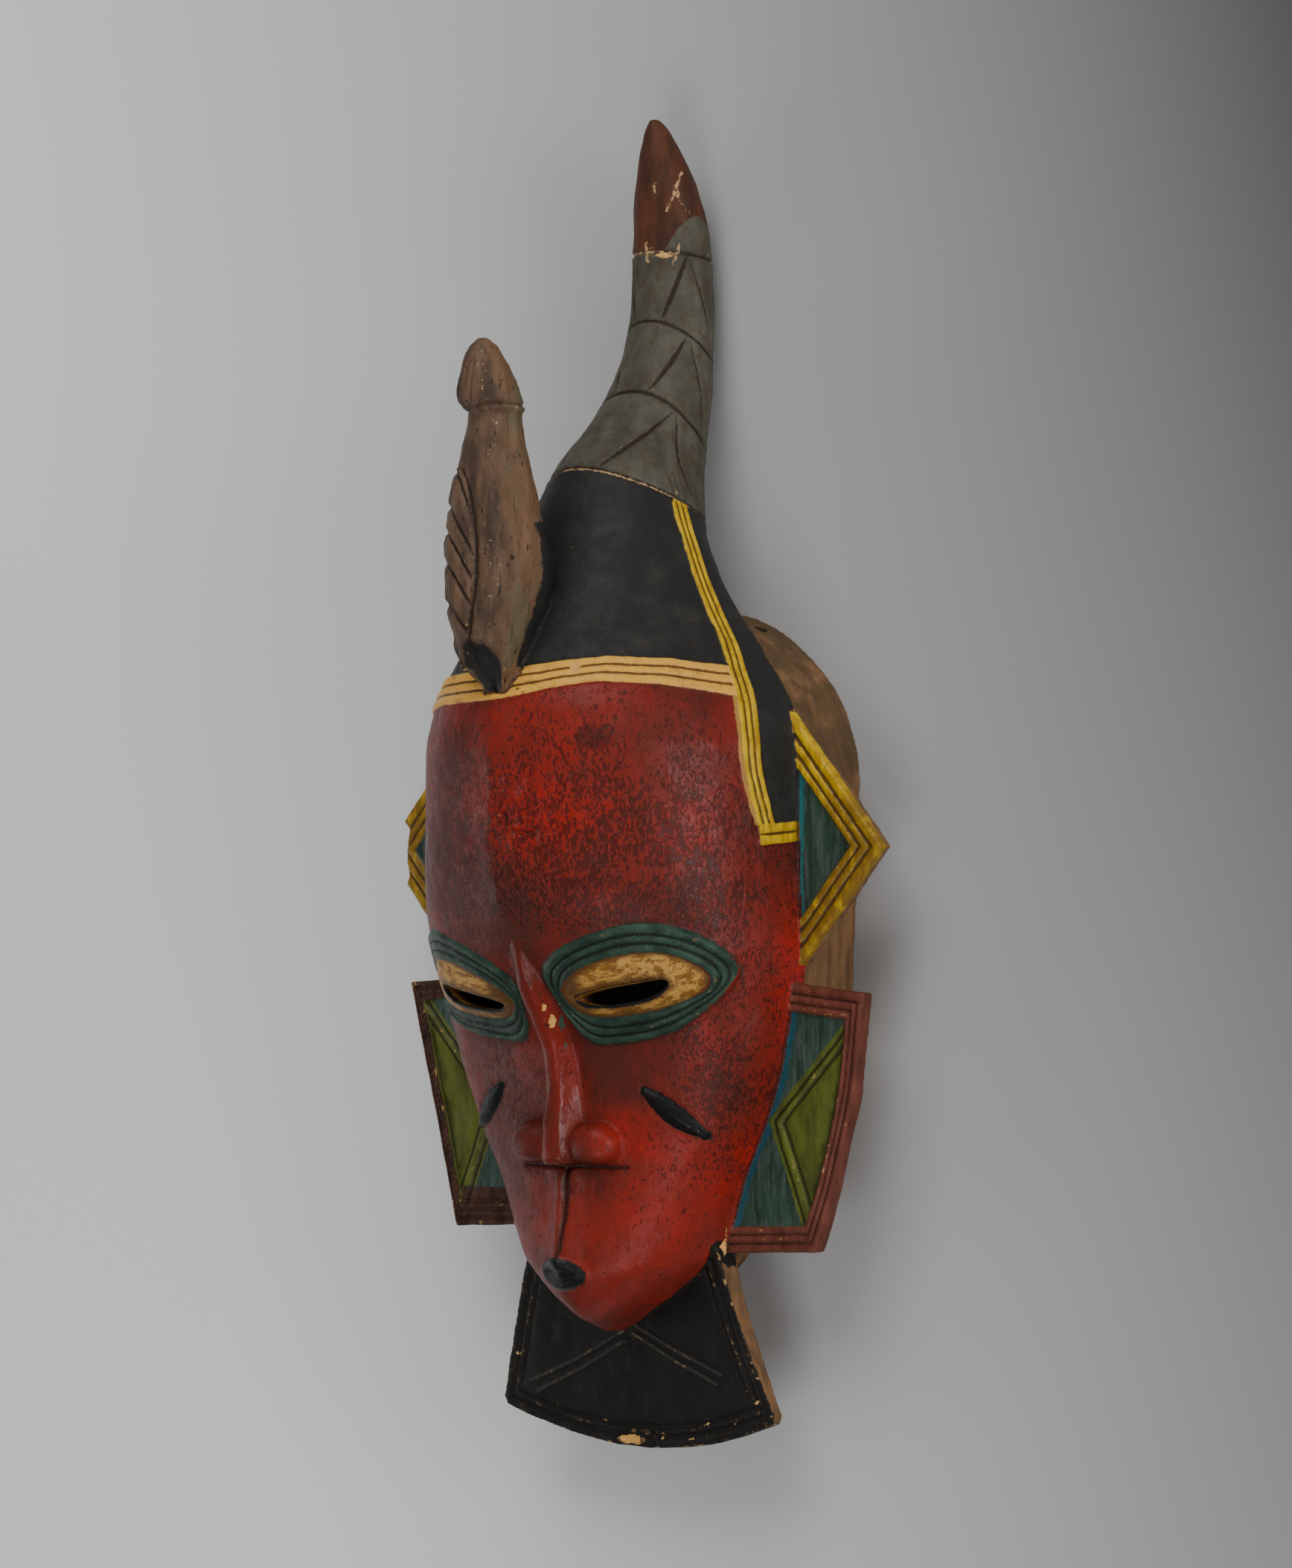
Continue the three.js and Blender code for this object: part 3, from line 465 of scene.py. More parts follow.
def path_distance(x, y, route):
    """Distance from points to a run of straight pieces, and the share of the run nearest to them."""
    best, place = np.full(len(x), 1e9), np.zeros(len(x))
    route = np.array(route, float)
    lengths = np.linalg.norm(np.diff(route, axis=0), axis=1)
    run = np.concatenate([[0], np.cumsum(lengths)]) / lengths.sum()
    for (ax, ay), (bx, by), low, high in zip(route[:-1], route[1:], run[:-1], run[1:]):
        dx, dy = bx - ax, by - ay
        t = np.clip(((x - ax) * dx + (y - ay) * dy) / (dx * dx + dy * dy), 0, 1)
        d = np.hypot(x - ax - t * dx, y - ay - t * dy)
        near = d < best
        best, place = np.where(near, d, best), np.where(near, low + t * (high - low), place)
    return best, place


def inside_edges(x, y, outline, open_edges=(), widths=None):
    """Distance inside an outline that turns one way, measured from its edges. Where the edges'
    frames have their own widths, the distance is drawn out to that of the full frame."""
    count = len(outline)
    area = sum(outline[i][0] * outline[(i + 1) % count][1] - outline[(i + 1) % count][0] * outline[i][1]
               for i in range(count))
    turn = 1 if area > 0 else -1
    depth = np.full(len(x), 1e9)
    for i in range(count):
        if i in open_edges:
            continue
        (ax, ay), (bx, by) = outline[i], outline[(i + 1) % count]
        length = np.hypot(bx - ax, by - ay)
        draw = FRAME_WIDTH / widths[i] if widths else 1
        depth = np.minimum(depth, turn * ((bx - ax) * (y - ay) - (by - ay) * (x - ax)) / length * draw)
    return depth


# Regions of the block, each found from a point's place


def beard_front(y):
    share = (y - BEARD["topY"]) / (BEARD_TIP_Y - BEARD["topY"])
    return BEARD["topFront"] + (BEARD["tipFront"] - BEARD["topFront"]) * share


def beard_back(y):
    share = (y - BEARD["topY"]) / (BEARD_TIP_Y - BEARD["topY"])
    thickness = BEARD["topThickness"] + (BEARD["tipThickness"] - BEARD["topThickness"]) * share
    return beard_front(y) - thickness


def beard_half(x, y):
    """Half width of the beard plate at a height, on the side where a point lies."""
    share = np.clip((y - BEARD["topY"]) / (BEARD["cornerY"] - BEARD["topY"]), 0, 1)
    corner, waist = (np.where(x < 0, left, right) for left, right in zip(BEARD["left"], BEARD["right"]))
    return BEARD["topHalf"] + (corner - BEARD["topHalf"]) * share - waist * np.sin(pi * share)


def beard_hem(x):
    share = np.clip(np.abs(x) / beard_half(x, BEARD["cornerY"]), 0, 1)
    return BEARD["cornerY"] - (BEARD["cornerY"] - BEARD_TIP_Y) * (1 - share ** 2)


def head_depth(p):
    """How far a point stands out of the head's front arc, in millimetres along z, and its reach."""
    half, front, _, fullness, side = head_section(p[:, 1])
    reach = np.clip(np.abs(p[:, 0]) / np.maximum(half, 0.1), 0, 1)
    arc = side + (front - side) * np.maximum(1 - reach ** 2, 0) ** (1 / fullness)
    return p[:, 2] - arc, reach


def in_bird(p):
    x, y, z = p.T
    half, back, belly = (along(BIRD, y, column) + BIRD_MARGIN * sign
                         for column, sign in ((1, 1), (2, 1), (3, -1)))
    ring = (x / half) ** 2 + ((z - (back + belly) / 2) / ((back - belly) / 2)) ** 2
    return (ring < 1.15) & (y > BIRD_FOOT_Y) & (y < 175) & (head_depth(p)[0] > 0.3)


def bird_angle(p):
    half, back, belly, middle = bird_section(p[:, 1])
    reach = np.where(p[:, 2] > middle, back - middle, middle - belly)
    return np.degrees(np.arctan2(p[:, 0] / np.maximum(half, 0.1), (p[:, 2] - middle) / reach))


def wing_share(p):
    """Place across the carved wing, from its middle line: below one inside it."""
    angle, y = bird_angle(p), p[:, 1]
    up = (y - WING["widest"]) / (WING["top"] - WING["widest"])
    down = (WING["widest"] - y) / (WING["widest"] - WING["bottom"])
    share = np.clip(np.where(y > WING["widest"], up, down), 0, 1)
    reach = np.maximum((WING["inner"] - WING["outer"]) / 2 * np.sqrt(1 - share ** 2.2), 0.5)
    across = (angle - (WING["inner"] + WING["outer"]) / 2) / reach
    return np.where((y > WING["bottom"]) & (y < WING["top"]), np.abs(across), 9)


def sight_across(p):
    """Place across the sight line, positive to the right."""
    return p[:, 0] * cos(radians(CAMERA_TURN)) - p[:, 2] * sin(radians(CAMERA_TURN))


def feather_distance(p, feather):
    """Distance from a carved line of the wing, which is straight where the wing is seen from."""
    across, height, slope = feather
    return (p[:, 1] - height - slope * (sight_across(p) - across)) / np.hypot(1, slope)


def horn_angle(p):
    half, front, _, _, side = head_section(p[:, 1])
    return np.arctan2(p[:, 0] / np.maximum(half, 0.1), (p[:, 2] - side) / np.maximum(front - side, 0.1))


def ring_distance(p, ring):
    front, fall = ring
    return p[:, 1] - (front - fall * (1 - np.cos(horn_angle(p))) / 2)


def eye_curve(outline, side, count):
    """One eye's curve in its place; the left eye lies lower and is flatter below its middle."""
    curve = closed_curve(outline, side, count)
    below = np.minimum(curve[:, 1] - EYE_MIDDLE[1], 0) * (LEFT_EYE_FLAT if side < 0 else 0)
    return curve + np.column_stack([np.zeros(count), EYE_LIFT * side - below])


def eye_share(p, side):
    """Place round one eye: below nought on the lid, nought to one on the ribs, and the radius."""
    middle = np.array([EYE_MIDDLE[0] * side, EYE_MIDDLE[1] + EYE_LIFT * side])
    radii = []
    d = p[:, :2] - middle
    angle = np.arctan2(d[:, 1], d[:, 0])
    for outline in (EYE_LID, EYE_RING):
        curve = eye_curve(outline, side, 240) - middle
        turn = np.arctan2(curve[:, 1], curve[:, 0])
        order = np.argsort(turn)
        radii.append(np.interp(angle, turn[order], np.hypot(*curve[order].T), period=2 * pi))
    r = np.hypot(*d.T)
    lid, ring = radii
    return (r - lid) / (ring - lid), r, lid, ring


def ears():
    """Each plate's outline, side, front, the edges that carry no frame, and the frames' widths."""
    yield RIGHT_LOWER, 1, LOWER_FRONT, (5,), (10.3, 7.4, 7.2, 7.6, 9.8, 1)
    yield [(-x, y) for x, y in LEFT_LOWER], -1, LOWER_FRONT, (3,), (7.4, 4.6, 8.7, 1)
    yield RIGHT_UPPER, 1, UPPER_FRONT, (2,), None
    yield [(-x, y) for x, y in LEFT_UPPER], -1, UPPER_FRONT, (2,), None


def mouth_share(x, y):
    """Place in the mouth's oval, which is one on its edge."""
    return np.hypot((x - MOUTH_X) / MOUTH_HALF, (y - MOUTH_Y) / MOUTH_TALL)


def chevron_legs(*sizes):
    """Every leg of the chevrons between the horn's rings, with the size that goes with its foot."""
    for low, up in zip(HORN_RINGS[:3], HORN_RINGS[1:]):
        for side in (1, -1):
            for foot, size in zip((CHEVRON["front"], CHEVRON["back"]), sizes):
                yield low, up, side, foot, size


def on_plate(p, outline, front):
    near = inside_edges(p[:, 0], p[:, 1], outline) > -1.5
    flat = (p[:, 2] < front + 1) & (p[:, 2] > front - EAR_THICKNESS - 1)
    return near & flat & (np.abs(p[:, 0]) > along(HEAD, p[:, 1], 1) + 0.4)


def band_across(p):
    """Distance across the hair band over the brow, which wavers and narrows to its right end."""
    right, left = (np.interp(np.abs(p[:, 0]), *line.T) for line in (HAIRLINE, LEFT_HAIRLINE))
    away = p[:, 1] - np.where(p[:, 0] < 0, left, right) + 0.5 * noise(p * (1, 0, 0), 9, 31)
    return away * (1 + 0.2 * smoothstep(0, 35, p[:, 0]))


def side_across(p):
    """Distance across the band up the side of the hair, positive towards the face."""
    heights = np.arange(SIDE_BAND[0, 0], SIDE_BAND[-1, 0] + 1)
    middle = along(SIDE_BAND, heights, 1)
    at, lean = (np.interp(p[:, 1], heights, line) for line in (middle, np.gradient(middle)))
    return (p[:, 2] - at) / np.sqrt(1 + lean ** 2)


def temple_across(p):
    """Distance across the short bands back to the ear plates, which rise a little to the back."""
    return p[:, 1] - TEMPLE_Y - (TEMPLE_FROM - p[:, 2]) * 0.07


def on_side(p):
    """The stretch of the head that the side bands run over."""
    half = along(HEAD, p[:, 1], 1)
    return (p[:, 1] > -24) & (p[:, 1] < 119) & (np.abs(p[:, 0]) > half * 0.55) & (p[:, 2] > -1)


def ribbed(distance, count, pitch, rise, soft=0.5):
    """Ribs side by side with narrow valleys, by the distance across them."""
    half = count * pitch / 2
    top = rise * smoothstep(half + soft, half - soft, np.abs(distance))
    for i in range(1, count):
        top += groove(distance - (i * pitch - half), 1.5, rise * 0.95)
    return top


# How far each point lies inside each finish, in millimetres. Below nought it lies outside.


def slit_depth(p, side, drop):
    """Distance inside an eye's slit, with the slit's outline moved down by a little."""
    outline = eye_curve(EYE_SLIT, side, 72) - (0, drop)
    away, _ = path_distance(p[:, 0], p[:, 1], np.vstack([outline, outline[:1]]))
    middle = outline.mean(0)
    turn = np.arctan2(p[:, 1] - middle[1], p[:, 0] - middle[0])
    around = np.arctan2(*(outline - middle).T[::-1])
    order = np.argsort(around)
    reach = np.interp(turn, around[order], np.hypot(*(outline - middle)[order].T), period=2 * pi)
    return np.where(np.hypot(*(p[:, :2] - middle).T) < reach, away, -away)


def only(where, depth):
    """Depth inside a finish, at the points where it may lie."""
    return np.where(where, depth, OUTSIDE)


def widen(fields, name, depth):
    fields[name] = np.maximum(fields[name], depth)


def oval_depth(x, y, a, b, ra, rb):
    return (1 - np.hypot((x - a) / ra, (y - b) / rb)) * min(ra, rb) + 0.2


def clouds(x, y, places):
    """Sum of soft round clouds, each with its place, reaches and strength."""
    return sum(w * np.exp(-(((x - a) / ra) ** 2 + ((y - b) / rb) ** 2)) for a, b, ra, rb, w in places)


class Surface:
    """Points of the carved skin with their outward directions, and what is asked of them most."""

    def __init__(self, p, n):
        self.p, self.n = p, n
        self.x, self.y, self.z = p.T
        self.bird = in_bird(p)
        self.out = head_depth(p)[0]
        self.half = along(HEAD, self.y, 1)
        self.beside = np.abs(self.x) - self.half
        self.on_face = (n[:, 2] > -0.1) & (self.out > -3) & ~self.bird
        self.across = sight_across(p)
        self.empty = np.full(len(p), OUTSIDE)


def hair_fields(s, fields):
    """Hair, the bands over the brow and up the side, and the beard plate."""
    x, y, z, band, side_band = s.x, s.y, s.z, band_across(s.p), side_across(s.p)
    low = np.minimum(y - TEMPLE_Y, s.half * 1.02 - np.abs(x) + 6)
    fields["hair"] = np.maximum(band, np.minimum(-side_band, low))
    fields["cream"] = only(s.on_face, np.minimum(5.8 - np.abs(band), side_band - 2))
    up_side = on_side(s.p) & (y > -17)
    upright = only(up_side, 4.1 - np.abs(side_band))
    upright = np.minimum(upright, -ring_distance(s.p, HORN_RINGS[0]) - 1)
    temple = (y > -31) & (y < -8) & (np.abs(x) > 64) & (s.beside < 1.2)
    temple = only(temple, np.minimum(3.9 - np.abs(temple_across(s.p)), TEMPLE_FROM + 3.2 - z))
    fields["yellow"] = only(~s.bird, np.maximum(upright, temple))
    strip = np.minimum(np.minimum(5.3 - side_band, side_band - 3.6), 40 - y)
    fields["strip"] = only(up_side, strip)
    bearded = (y < -177) & (z < beard_front(y) + 5) & (np.abs(x) < beard_half(x, y) + 1.5)
    fields["beard"] = only(bearded, 1.3 - (z - beard_front(y)))
    rim, inner = beard_lines(s.p)
    fields["rim_line"] = only(on_beard(s.p), 0.9 - np.abs(rim - 0.8))
    fields["beard_line"] = only(on_beard(s.p), 0.7 - inner)


def eye_fields(s, fields):
    """Rings, lids, slits and scars on both sides, and the mouth, with painted shade in the creases over it.
    """
    x, y, z = s.x, s.y, s.z
    for side in (1, -1):
        share, r, lid, ring = eye_share(s.p, side)
        near = s.on_face & (y < -40) & (y > -115) & (x * side > -4)
        widen(fields, "ring", only(near, np.minimum(share + 0.03, 1.06 - share) * (ring - lid)))
        widen(fields, "lid", only(near, lid * 0.985 - r))
        slit = slit_depth(s.p, side, 0)
        widen(fields, "mark", only(near, np.maximum(slit + 0.2, slit_depth(s.p, side, 0.9) + 0.3)))
        widen(fields, "lash", only(near, np.maximum(slit + 2.6, (26 - x * side) * 0.5)))
        # The slits' inner walls are painted dark: painted shade.
        through = (z > 20) & (y < -60) & (y > -110) & (x * side > 8) & (slit > -1.6) & (s.out < -0.8)
        widen(fields, "shaded_walls", only(through, SURE))
        away, place = path_distance(x, y, [(a * side, b) for a, b in SCAR])
        width = (SCAR_WIDTH / 2 + 0.7) * np.maximum(np.sin(pi * np.clip(place, 0.05, 0.95)), 0.1) ** 0.4
        widen(fields, "mark", only(s.on_face, width - away))
    widen(fields, "mark", only(s.on_face & (y > -199), (1.0 - mouth_share(x, y)) * 6.5))
    # Painted shade in the groove of the philtrum, and a painted shadow along the foot of the nose.
    away, place = path_distance(x, y, PHILTRUM)
    foot = only((x > -24) & (x < 28), 0.7 - np.abs(y - NOSE_FOOT_Y))
    fields["crease_shade"] = only(s.on_face & (y > -185), np.maximum(1.1 + 0.6 * place - away, foot))


def plate_fields(s, fields):
    """Frames, panels and leaves of the ear plates, with the brighter paint beside the face."""
    x, y = s.x, s.y
    for outline, side, front, open_edges, widths in ears():
        near = on_plate(s.p, outline, front)
        depth = inside_edges(x, y, outline, open_edges, widths)
        widen(fields, "plated", only(near, inside_edges(x, y, outline)))
        rim = (FRAME_WIDTH - depth) * (min(widths[:-1]) / FRAME_WIDTH if widths else 1)
        widen(fields, "yellow" if front == UPPER_FRONT else "frame", only(near, rim + 0.2))
        widen(fields, "panel", only(near, np.minimum(depth - FRAME_WIDTH, (s.beside - 0.4) * 3)))
        if front == UPPER_FRONT:
            widen(fields, "dull", only(near, (6 - y) * 0.22))
            continue
        leaf = RIGHT_LEAF if side > 0 else LEFT_LEAF
        inner = inside_edges(x, y, leaf + [(110 * side, leaf[2][1]), (120 * side, -88)], (2, 3, 4))
        widen(fields, "olive", only(near, np.minimum(inner + 4.2, (depth - FRAME_WIDTH) * 0.5)))
        if side < 0:
            widen(fields, "left", only(near, SURE))
            widen(fields, "frame", only(near & (x > -88), -160.5 - y))
    fields["blue"] = only((s.beside > 0) & (y < -78), 4 - s.beside * 1.2)
    fields["fresh"] = only((s.beside > 0) & (y > -70) & (y < 16), 2.9 + 0.035 * (y + 5) - s.beside)


def bird_fields(s, fields):
    """Bird with the dark scoop at its foot, its seam and its beak; the scoop is black paint and painted shade
    in the hollow under the tail.
    """
    y, turned = s.y, bird_angle(s.p)
    scoop = np.hypot((turned - 12) / 50, (y - 41) / 13)
    seam = only((y > 44) & (y < 100), (np.abs(turned) - 100) * 0.2)
    beak = (y > 158.5) & (y < 170) & (s.z > 60) & (s.z < along(BIRD, y, 3) - 0.4)
    dark = np.maximum.reduce([(0.95 - scoop) * 12, seam, only(beak, SURE)])
    fields["scoop"] = only(s.bird | beak, dark)
    fields["bird"] = np.where(s.bird | beak, SURE, -SURE)
    fields["warm"] = only(s.bird, (turned - 58) * 0.2)
    fields["specks"] = np.exp(-((turned - 36) / 16) ** 2)


def line_fields(s, fields):
    """Horn with its tip, and the dark lines on horn and bird."""
    y, angle = s.y, np.degrees(horn_angle(s.p))
    rings = [ring_distance(s.p, ring) for ring in HORN_RINGS]
    above = (y > 88) & ~s.bird
    fields["horn"] = only(y > 80, rings[0])
    fields["tip"] = only(y > 195, rings[3] - np.maximum(s.x - 7, 0) * 2.2)
    fields["base_ring"] = only(above, 0.3 - np.abs(rings[0] + 0.5))
    fields["tip_ring"] = only(above & (s.x < 12), 0.4 - np.abs(rings[3]))
    for ring in rings:
        widen(fields, "lines", only(above, 0.55 - np.abs(ring)))
    for low, up, side, foot, width in chevron_legs(0.95, 0.4):
        away, place = chevron_distance(s.p, angle * side, low, up, foot)
        wide = width * np.sin(pi * np.clip(place, 0, 1)) ** 0.7
        widen(fields, "lines", only(above & (place > 0) & (place < 1), wide - away))
    share = wing_share(s.p)
    for feather in FEATHERS:
        widen(fields, "lines", only(s.bird & (share < 1), 0.4 - np.abs(feather_distance(s.p, feather))))
    rim = np.abs(share - 1.06) * along(BIRD, y, 1) * 0.8
    widen(fields, "lines", only(s.bird, 0.5 - rim))


def raw_fields(s, fields):
    """Bare wood of the rear wall, the hollow, the plates' backs and the beard's edge, and painted shade on
    the walls of the cord holes.
    """
    x, y, z, n = s.x, s.y, s.z, s.n
    wall = only((y > -200) & (y < 72) & (z < beard_back(y) + 0.8), np.minimum(0.4 - z, 70.5 - y))
    shelf = (y > 10) & (y < 70.5) & (z < 3.4) & (fields["plated"] < -0.4)
    hollow = np.minimum(np.minimum(-s.beside - 4.5, -s.out - 6), 66 - y)
    plates = (s.beside > 0.5) | (y < -200)
    edge = (y < -186) & (z < beard_front(y) - 0.8)
    fields["raw"] = np.maximum.reduce([
        wall, only(shelf, s.beside - 0.4), only(y > -196, hollow),
        only(plates & (y < 60), (-n[:, 2] - 0.5) * 6), only(edge, (np.abs(n[:, 0]) - 0.7) * 8)])
    fields["upper"] = y / 15
    widen(fields, "shaded_walls", -SURE)
    # The cord holes' walls are painted dark: painted shade.
    h = CORD_HOLE
    for side in (1, -1):
        way = np.array([h["x"] * side / ARCH_HALF ** 2, (h["y"] - ARCH_Y) / ARCH_HEIGHT ** 2])
        reach = np.abs((x - h["x"] * side) * way[1] - (y - h["y"]) * way[0]) / np.hypot(*way)
        bored = (y > 40) & (y < 76) & (np.hypot(reach, z - h["z"]) < h["radius"] + 0.15)
        widen(fields, "shaded_walls", only(bored, SURE))


def wear_fields(s, fields):
    """Chips, dabs and cracks where they are seen from the front, and how the red varies, with painted light
    on the sides of the face.
    """
    x, y, across = s.x, s.y, s.across
    facing = s.n[:, 0] * sin(radians(CAMERA_TURN)) + s.n[:, 2] * cos(radians(CAMERA_TURN)) > 0.1
    for *chip, _ in CHIPS:
        widen(fields, "chips", only(facing, oval_depth(across, y, *chip)))
    for dab in DABS:
        widen(fields, "dabs", only(facing, oval_depth(across, y, *dab)))
    for route in CRACKS:
        widen(fields, "cracks", only(facing & (y > 195), 0.55 - path_distance(across, y, route)[0]))
    worn = 0.1 + 1.5 * np.exp(-((y + 181) / 4.5) ** 2) + 1.5 * noise(s.p * (1, 0.45, 1), 2.4, 41)
    jaw = worn - path_distance(across, y, JAW_WEAR)[0]
    widen(fields, "chips", only(facing & (np.abs(s.out) < 9), jaw))
    a, b, ra, rb = SMUDGE
    reach = np.hypot((x - a) / ra, (y - b) / rb) + 0.35 * noise(s.p, 4.5, 33)
    fields["smudge"] = only(s.on_face, (1 - reach) * rb)
    fields["bright"] = clouds(x, y, BRIGHT)
    # The sides of the face are painted a fresher red: painted light from the side.
    fields["bright"] += 0.6 * smoothstep(26, 10, s.z) * (np.abs(x) > 60) * smoothstep(-30, -50, y)
    sheen = np.exp(-((x - 14) / 20) ** 2 - ((y + 18) / 26) ** 2)
    sheen += np.exp(-(x / 9) ** 2) * (y < -60) * (y > -148)
    fields["gloss"] = np.where(s.on_face, sheen, 0)
    fields["flecks"] = np.clip(clouds(x, y, FLECKED), 0, 1.2)


def paint_fields(p, n):
    """How far each point lies inside every finish, by the finish's name."""
    s = Surface(p, n)
    fields = {name: s.empty.copy() for name in GATHERED}
    for fill in (hair_fields, eye_fields, plate_fields, bird_fields, line_fields, raw_fields, wear_fields):
        fill(s, fields)
    del fields["plated"]
    return fields


class MaskSettings(bpy.types.PropertyGroup):
    """Sizes and finish that a carver would set."""

    voxel: FloatProperty(
        name="Skin detail", description="Size of the grid that the carved skin is made on",
        default=0.00066, min=0.0004, max=0.003, subtype="DISTANCE", unit="LENGTH")
    unevenness: FloatProperty(
        name="Unevenness", description="How far the hand-carved skin strays from an even surface",
        default=0.0003, min=0, max=0.002, subtype="DISTANCE", unit="LENGTH")
    faces: FloatProperty(
        name="Thousand faces", description="Most triangles of the finished carving, in thousands",
        default=190, min=20, max=195)


def tone(name, description, default):
    """A colour that the user can change, in shares of red, green and blue light."""
    return FloatVectorProperty(name=name, description=description, default=default, min=0, max=1, size=3,
                               subtype="COLOR")


class MaskPaints(bpy.types.PropertyGroup):
    """Colours of the paints and of the bare wood, and of the shade painted into grooves, creases and holes.
    """

    red_dark: tone("Red dark", "Red in its darkest places", (0.095, 0.018, 0.012))
    red_mid: tone("Red mid", "Red over most of the face", (0.215, 0.018, 0.011))
    red_fresh: tone("Red fresh", "Red where it is bright", (0.38, 0.015, 0.010))
    # Also the painted shade laid into the hollows and grooves of the red.
    red_pit_and_shade: tone("Red pit", "Pits and dirt in the red", (0.030, 0.010, 0.008))
    hair_black: tone("Hair black", "Black of the hair", (0.020, 0.0195, 0.018))
    hair_worn: tone("Hair worn", "Black of the hair where it is rubbed", (0.040, 0.036, 0.032))
    beard_black: tone("Beard black", "Black of the beard", (0.008, 0.007, 0.006))
    beard_worn: tone("Beard worn", "Black of the beard where it is rubbed", (0.022, 0.017, 0.012))
    mark_black: tone("Mark black", "Black of the scars, mouth and slits", (0.007, 0.007, 0.007))
    cream: tone("Cream", "Cream of the brow band", (0.74, 0.38, 0.060))
    cream_worn: tone("Cream worn", "Cream where it is rubbed", (0.38, 0.19, 0.045))
    # Brown dashes in the cream, and also the painted shade in the grooves of the cream and yellow.
    brown_line_and_shade: tone("Brown line", "Brown in the grooves of pale paint", (0.070, 0.032, 0.010))
    # Painted shade in the philtrum, and painted shadow under the nose's foot.
    crease_shade: tone("Crease", "Dark red in the creases of the face", (0.040, 0.012, 0.008))
    # Also the painted shade in the grooves of the bird.
    groove: tone("Groove", "Dark brown in the grooves of dark paint", (0.024, 0.013, 0.009))
    lid_cream: tone("Lid cream", "Cream on the eyelids", (0.50, 0.27, 0.060))
    lid_gold: tone("Lid gold", "Gold on the eyelids", (0.22, 0.092, 0.014))
    lid_brown: tone("Lid brown", "Brown round the eyelids", (0.10, 0.042, 0.010))
    yellow: tone("Yellow", "Yellow of the side bands and upper plates", (0.62, 0.40, 0.008))
    yellow_deep: tone("Yellow deep", "Yellow where it is dirty", (0.36, 0.19, 0.006))
    yellow_brown: tone("Yellow brown", "Yellow of the ear plates where it is worn", (0.17, 0.09, 0.012))
    teal: tone("Teal", "Teal of the eye rings and panels", (0.036, 0.078, 0.049))
    teal_dark: tone("Teal dark", "Teal where it is dirty", (0.016, 0.034, 0.024))
    # Painted shade in the grooves of the eye rings.
    teal_groove_shade: tone("Teal line", "Dark line in the eye rings", (0.010, 0.012, 0.009))
    olive: tone("Olive", "Green of the leaves", (0.105, 0.130, 0.018))
    olive_dark: tone("Olive dark", "Green where it is dirty", (0.060, 0.066, 0.014))
    # Painted shade in the grooves of the leaves.
    olive_groove_shade: tone("Olive line", "Green in the grooves", (0.020, 0.020, 0.005))
    slate: tone("Slate", "Grey strokes on the panels", (0.070, 0.088, 0.080))
    blue: tone("Blue", "Blue beside the face on the lower plates", (0.010, 0.075, 0.110))
    teal_fresh: tone("Teal fresh", "Bright teal beside the face on the upper plates", (0.018, 0.125, 0.130))
    frame_red: tone("Frame red", "Red-brown of the right lower frame", (0.170, 0.048, 0.032))
    frame_dark: tone("Frame dark", "Red-brown where it is dirty", (0.090, 0.026, 0.016))
    frame_left: tone("Frame left", "Brown of the left lower frame", (0.075, 0.031, 0.018))
    # Dark streaks of the left frame, and also the painted shade in the grooves of the frames.
    frame_groove_and_shade: tone("Frame groove", "Brown in the grooves of the frames", (0.024, 0.009, 0.006))
    horn_grey: tone("Horn grey", "Grey of the horn", (0.098, 0.090, 0.066))
    horn_dark: tone("Horn dark", "Grey where it is dirty", (0.058, 0.050, 0.036))
    horn_brown: tone("Horn brown", "Brown stains on the horn", (0.070, 0.042, 0.024))
    tip_red: tone("Tip red", "Red-brown of the horn's tip", (0.11, 0.036, 0.016))
    tip_dark: tone("Tip dark", "Red-brown where it is dirty", (0.045, 0.020, 0.012))
    bird_brown: tone("Bird brown", "Brown of the bird", (0.150, 0.088, 0.052))
    bird_dark: tone("Bird dark", "Brown where it is dirty", (0.058, 0.036, 0.025))
    bird_warm: tone("Bird warm", "Orange-brown at the right of the bird", (0.185, 0.100, 0.052))
    bird_olive: tone("Bird olive", "Olive at the right of the bird", (0.125, 0.112, 0.062))
    gold_speck: tone("Gold speck", "Gold specks on the bird", (0.50, 0.34, 0.14))
    ochre: tone("Ochre", "Ground that shows at worn edges", (0.55, 0.33, 0.12))
    raw_wood: tone("Raw wood", "Bare wood", (0.25, 0.132, 0.060))
    raw_dark: tone("Raw dark", "Bare wood in its dark grain", (0.090, 0.050, 0.026))
    # Painted shade on the walls of the slits and cord holes.
    inner_wall_shade: tone("Inner wall", "Walls of the slits and cord holes", (0.026, 0.018, 0.010))
    raw_green: tone("Raw green", "Bare wood where it has darkened", (0.075, 0.050, 0.024))
    crack: tone("Crack", "Pale cracks in the horn's tip", (0.52, 0.32, 0.16))
    chipped: tone("Chipped", "Fresh wood in the chips", (0.66, 0.36, 0.10))
    line_worn: tone("Line worn", "Rubbed lines of the beard", (0.036, 0.033, 0.029))


def add_head(block):
    heights = np.concatenate([np.linspace(CHIN_Y, -195, 26), np.arange(-193.5, 250, 1.6),
                              np.linspace(250, HORN_TIP_Y, 12)])
    angles = np.radians(np.linspace(0, 360, 220, endpoint=False))
    y, angle = grid(heights, angles)
    block.add(head_points(y.ravel(), angle.ravel()).reshape(len(heights), len(angles), 3))


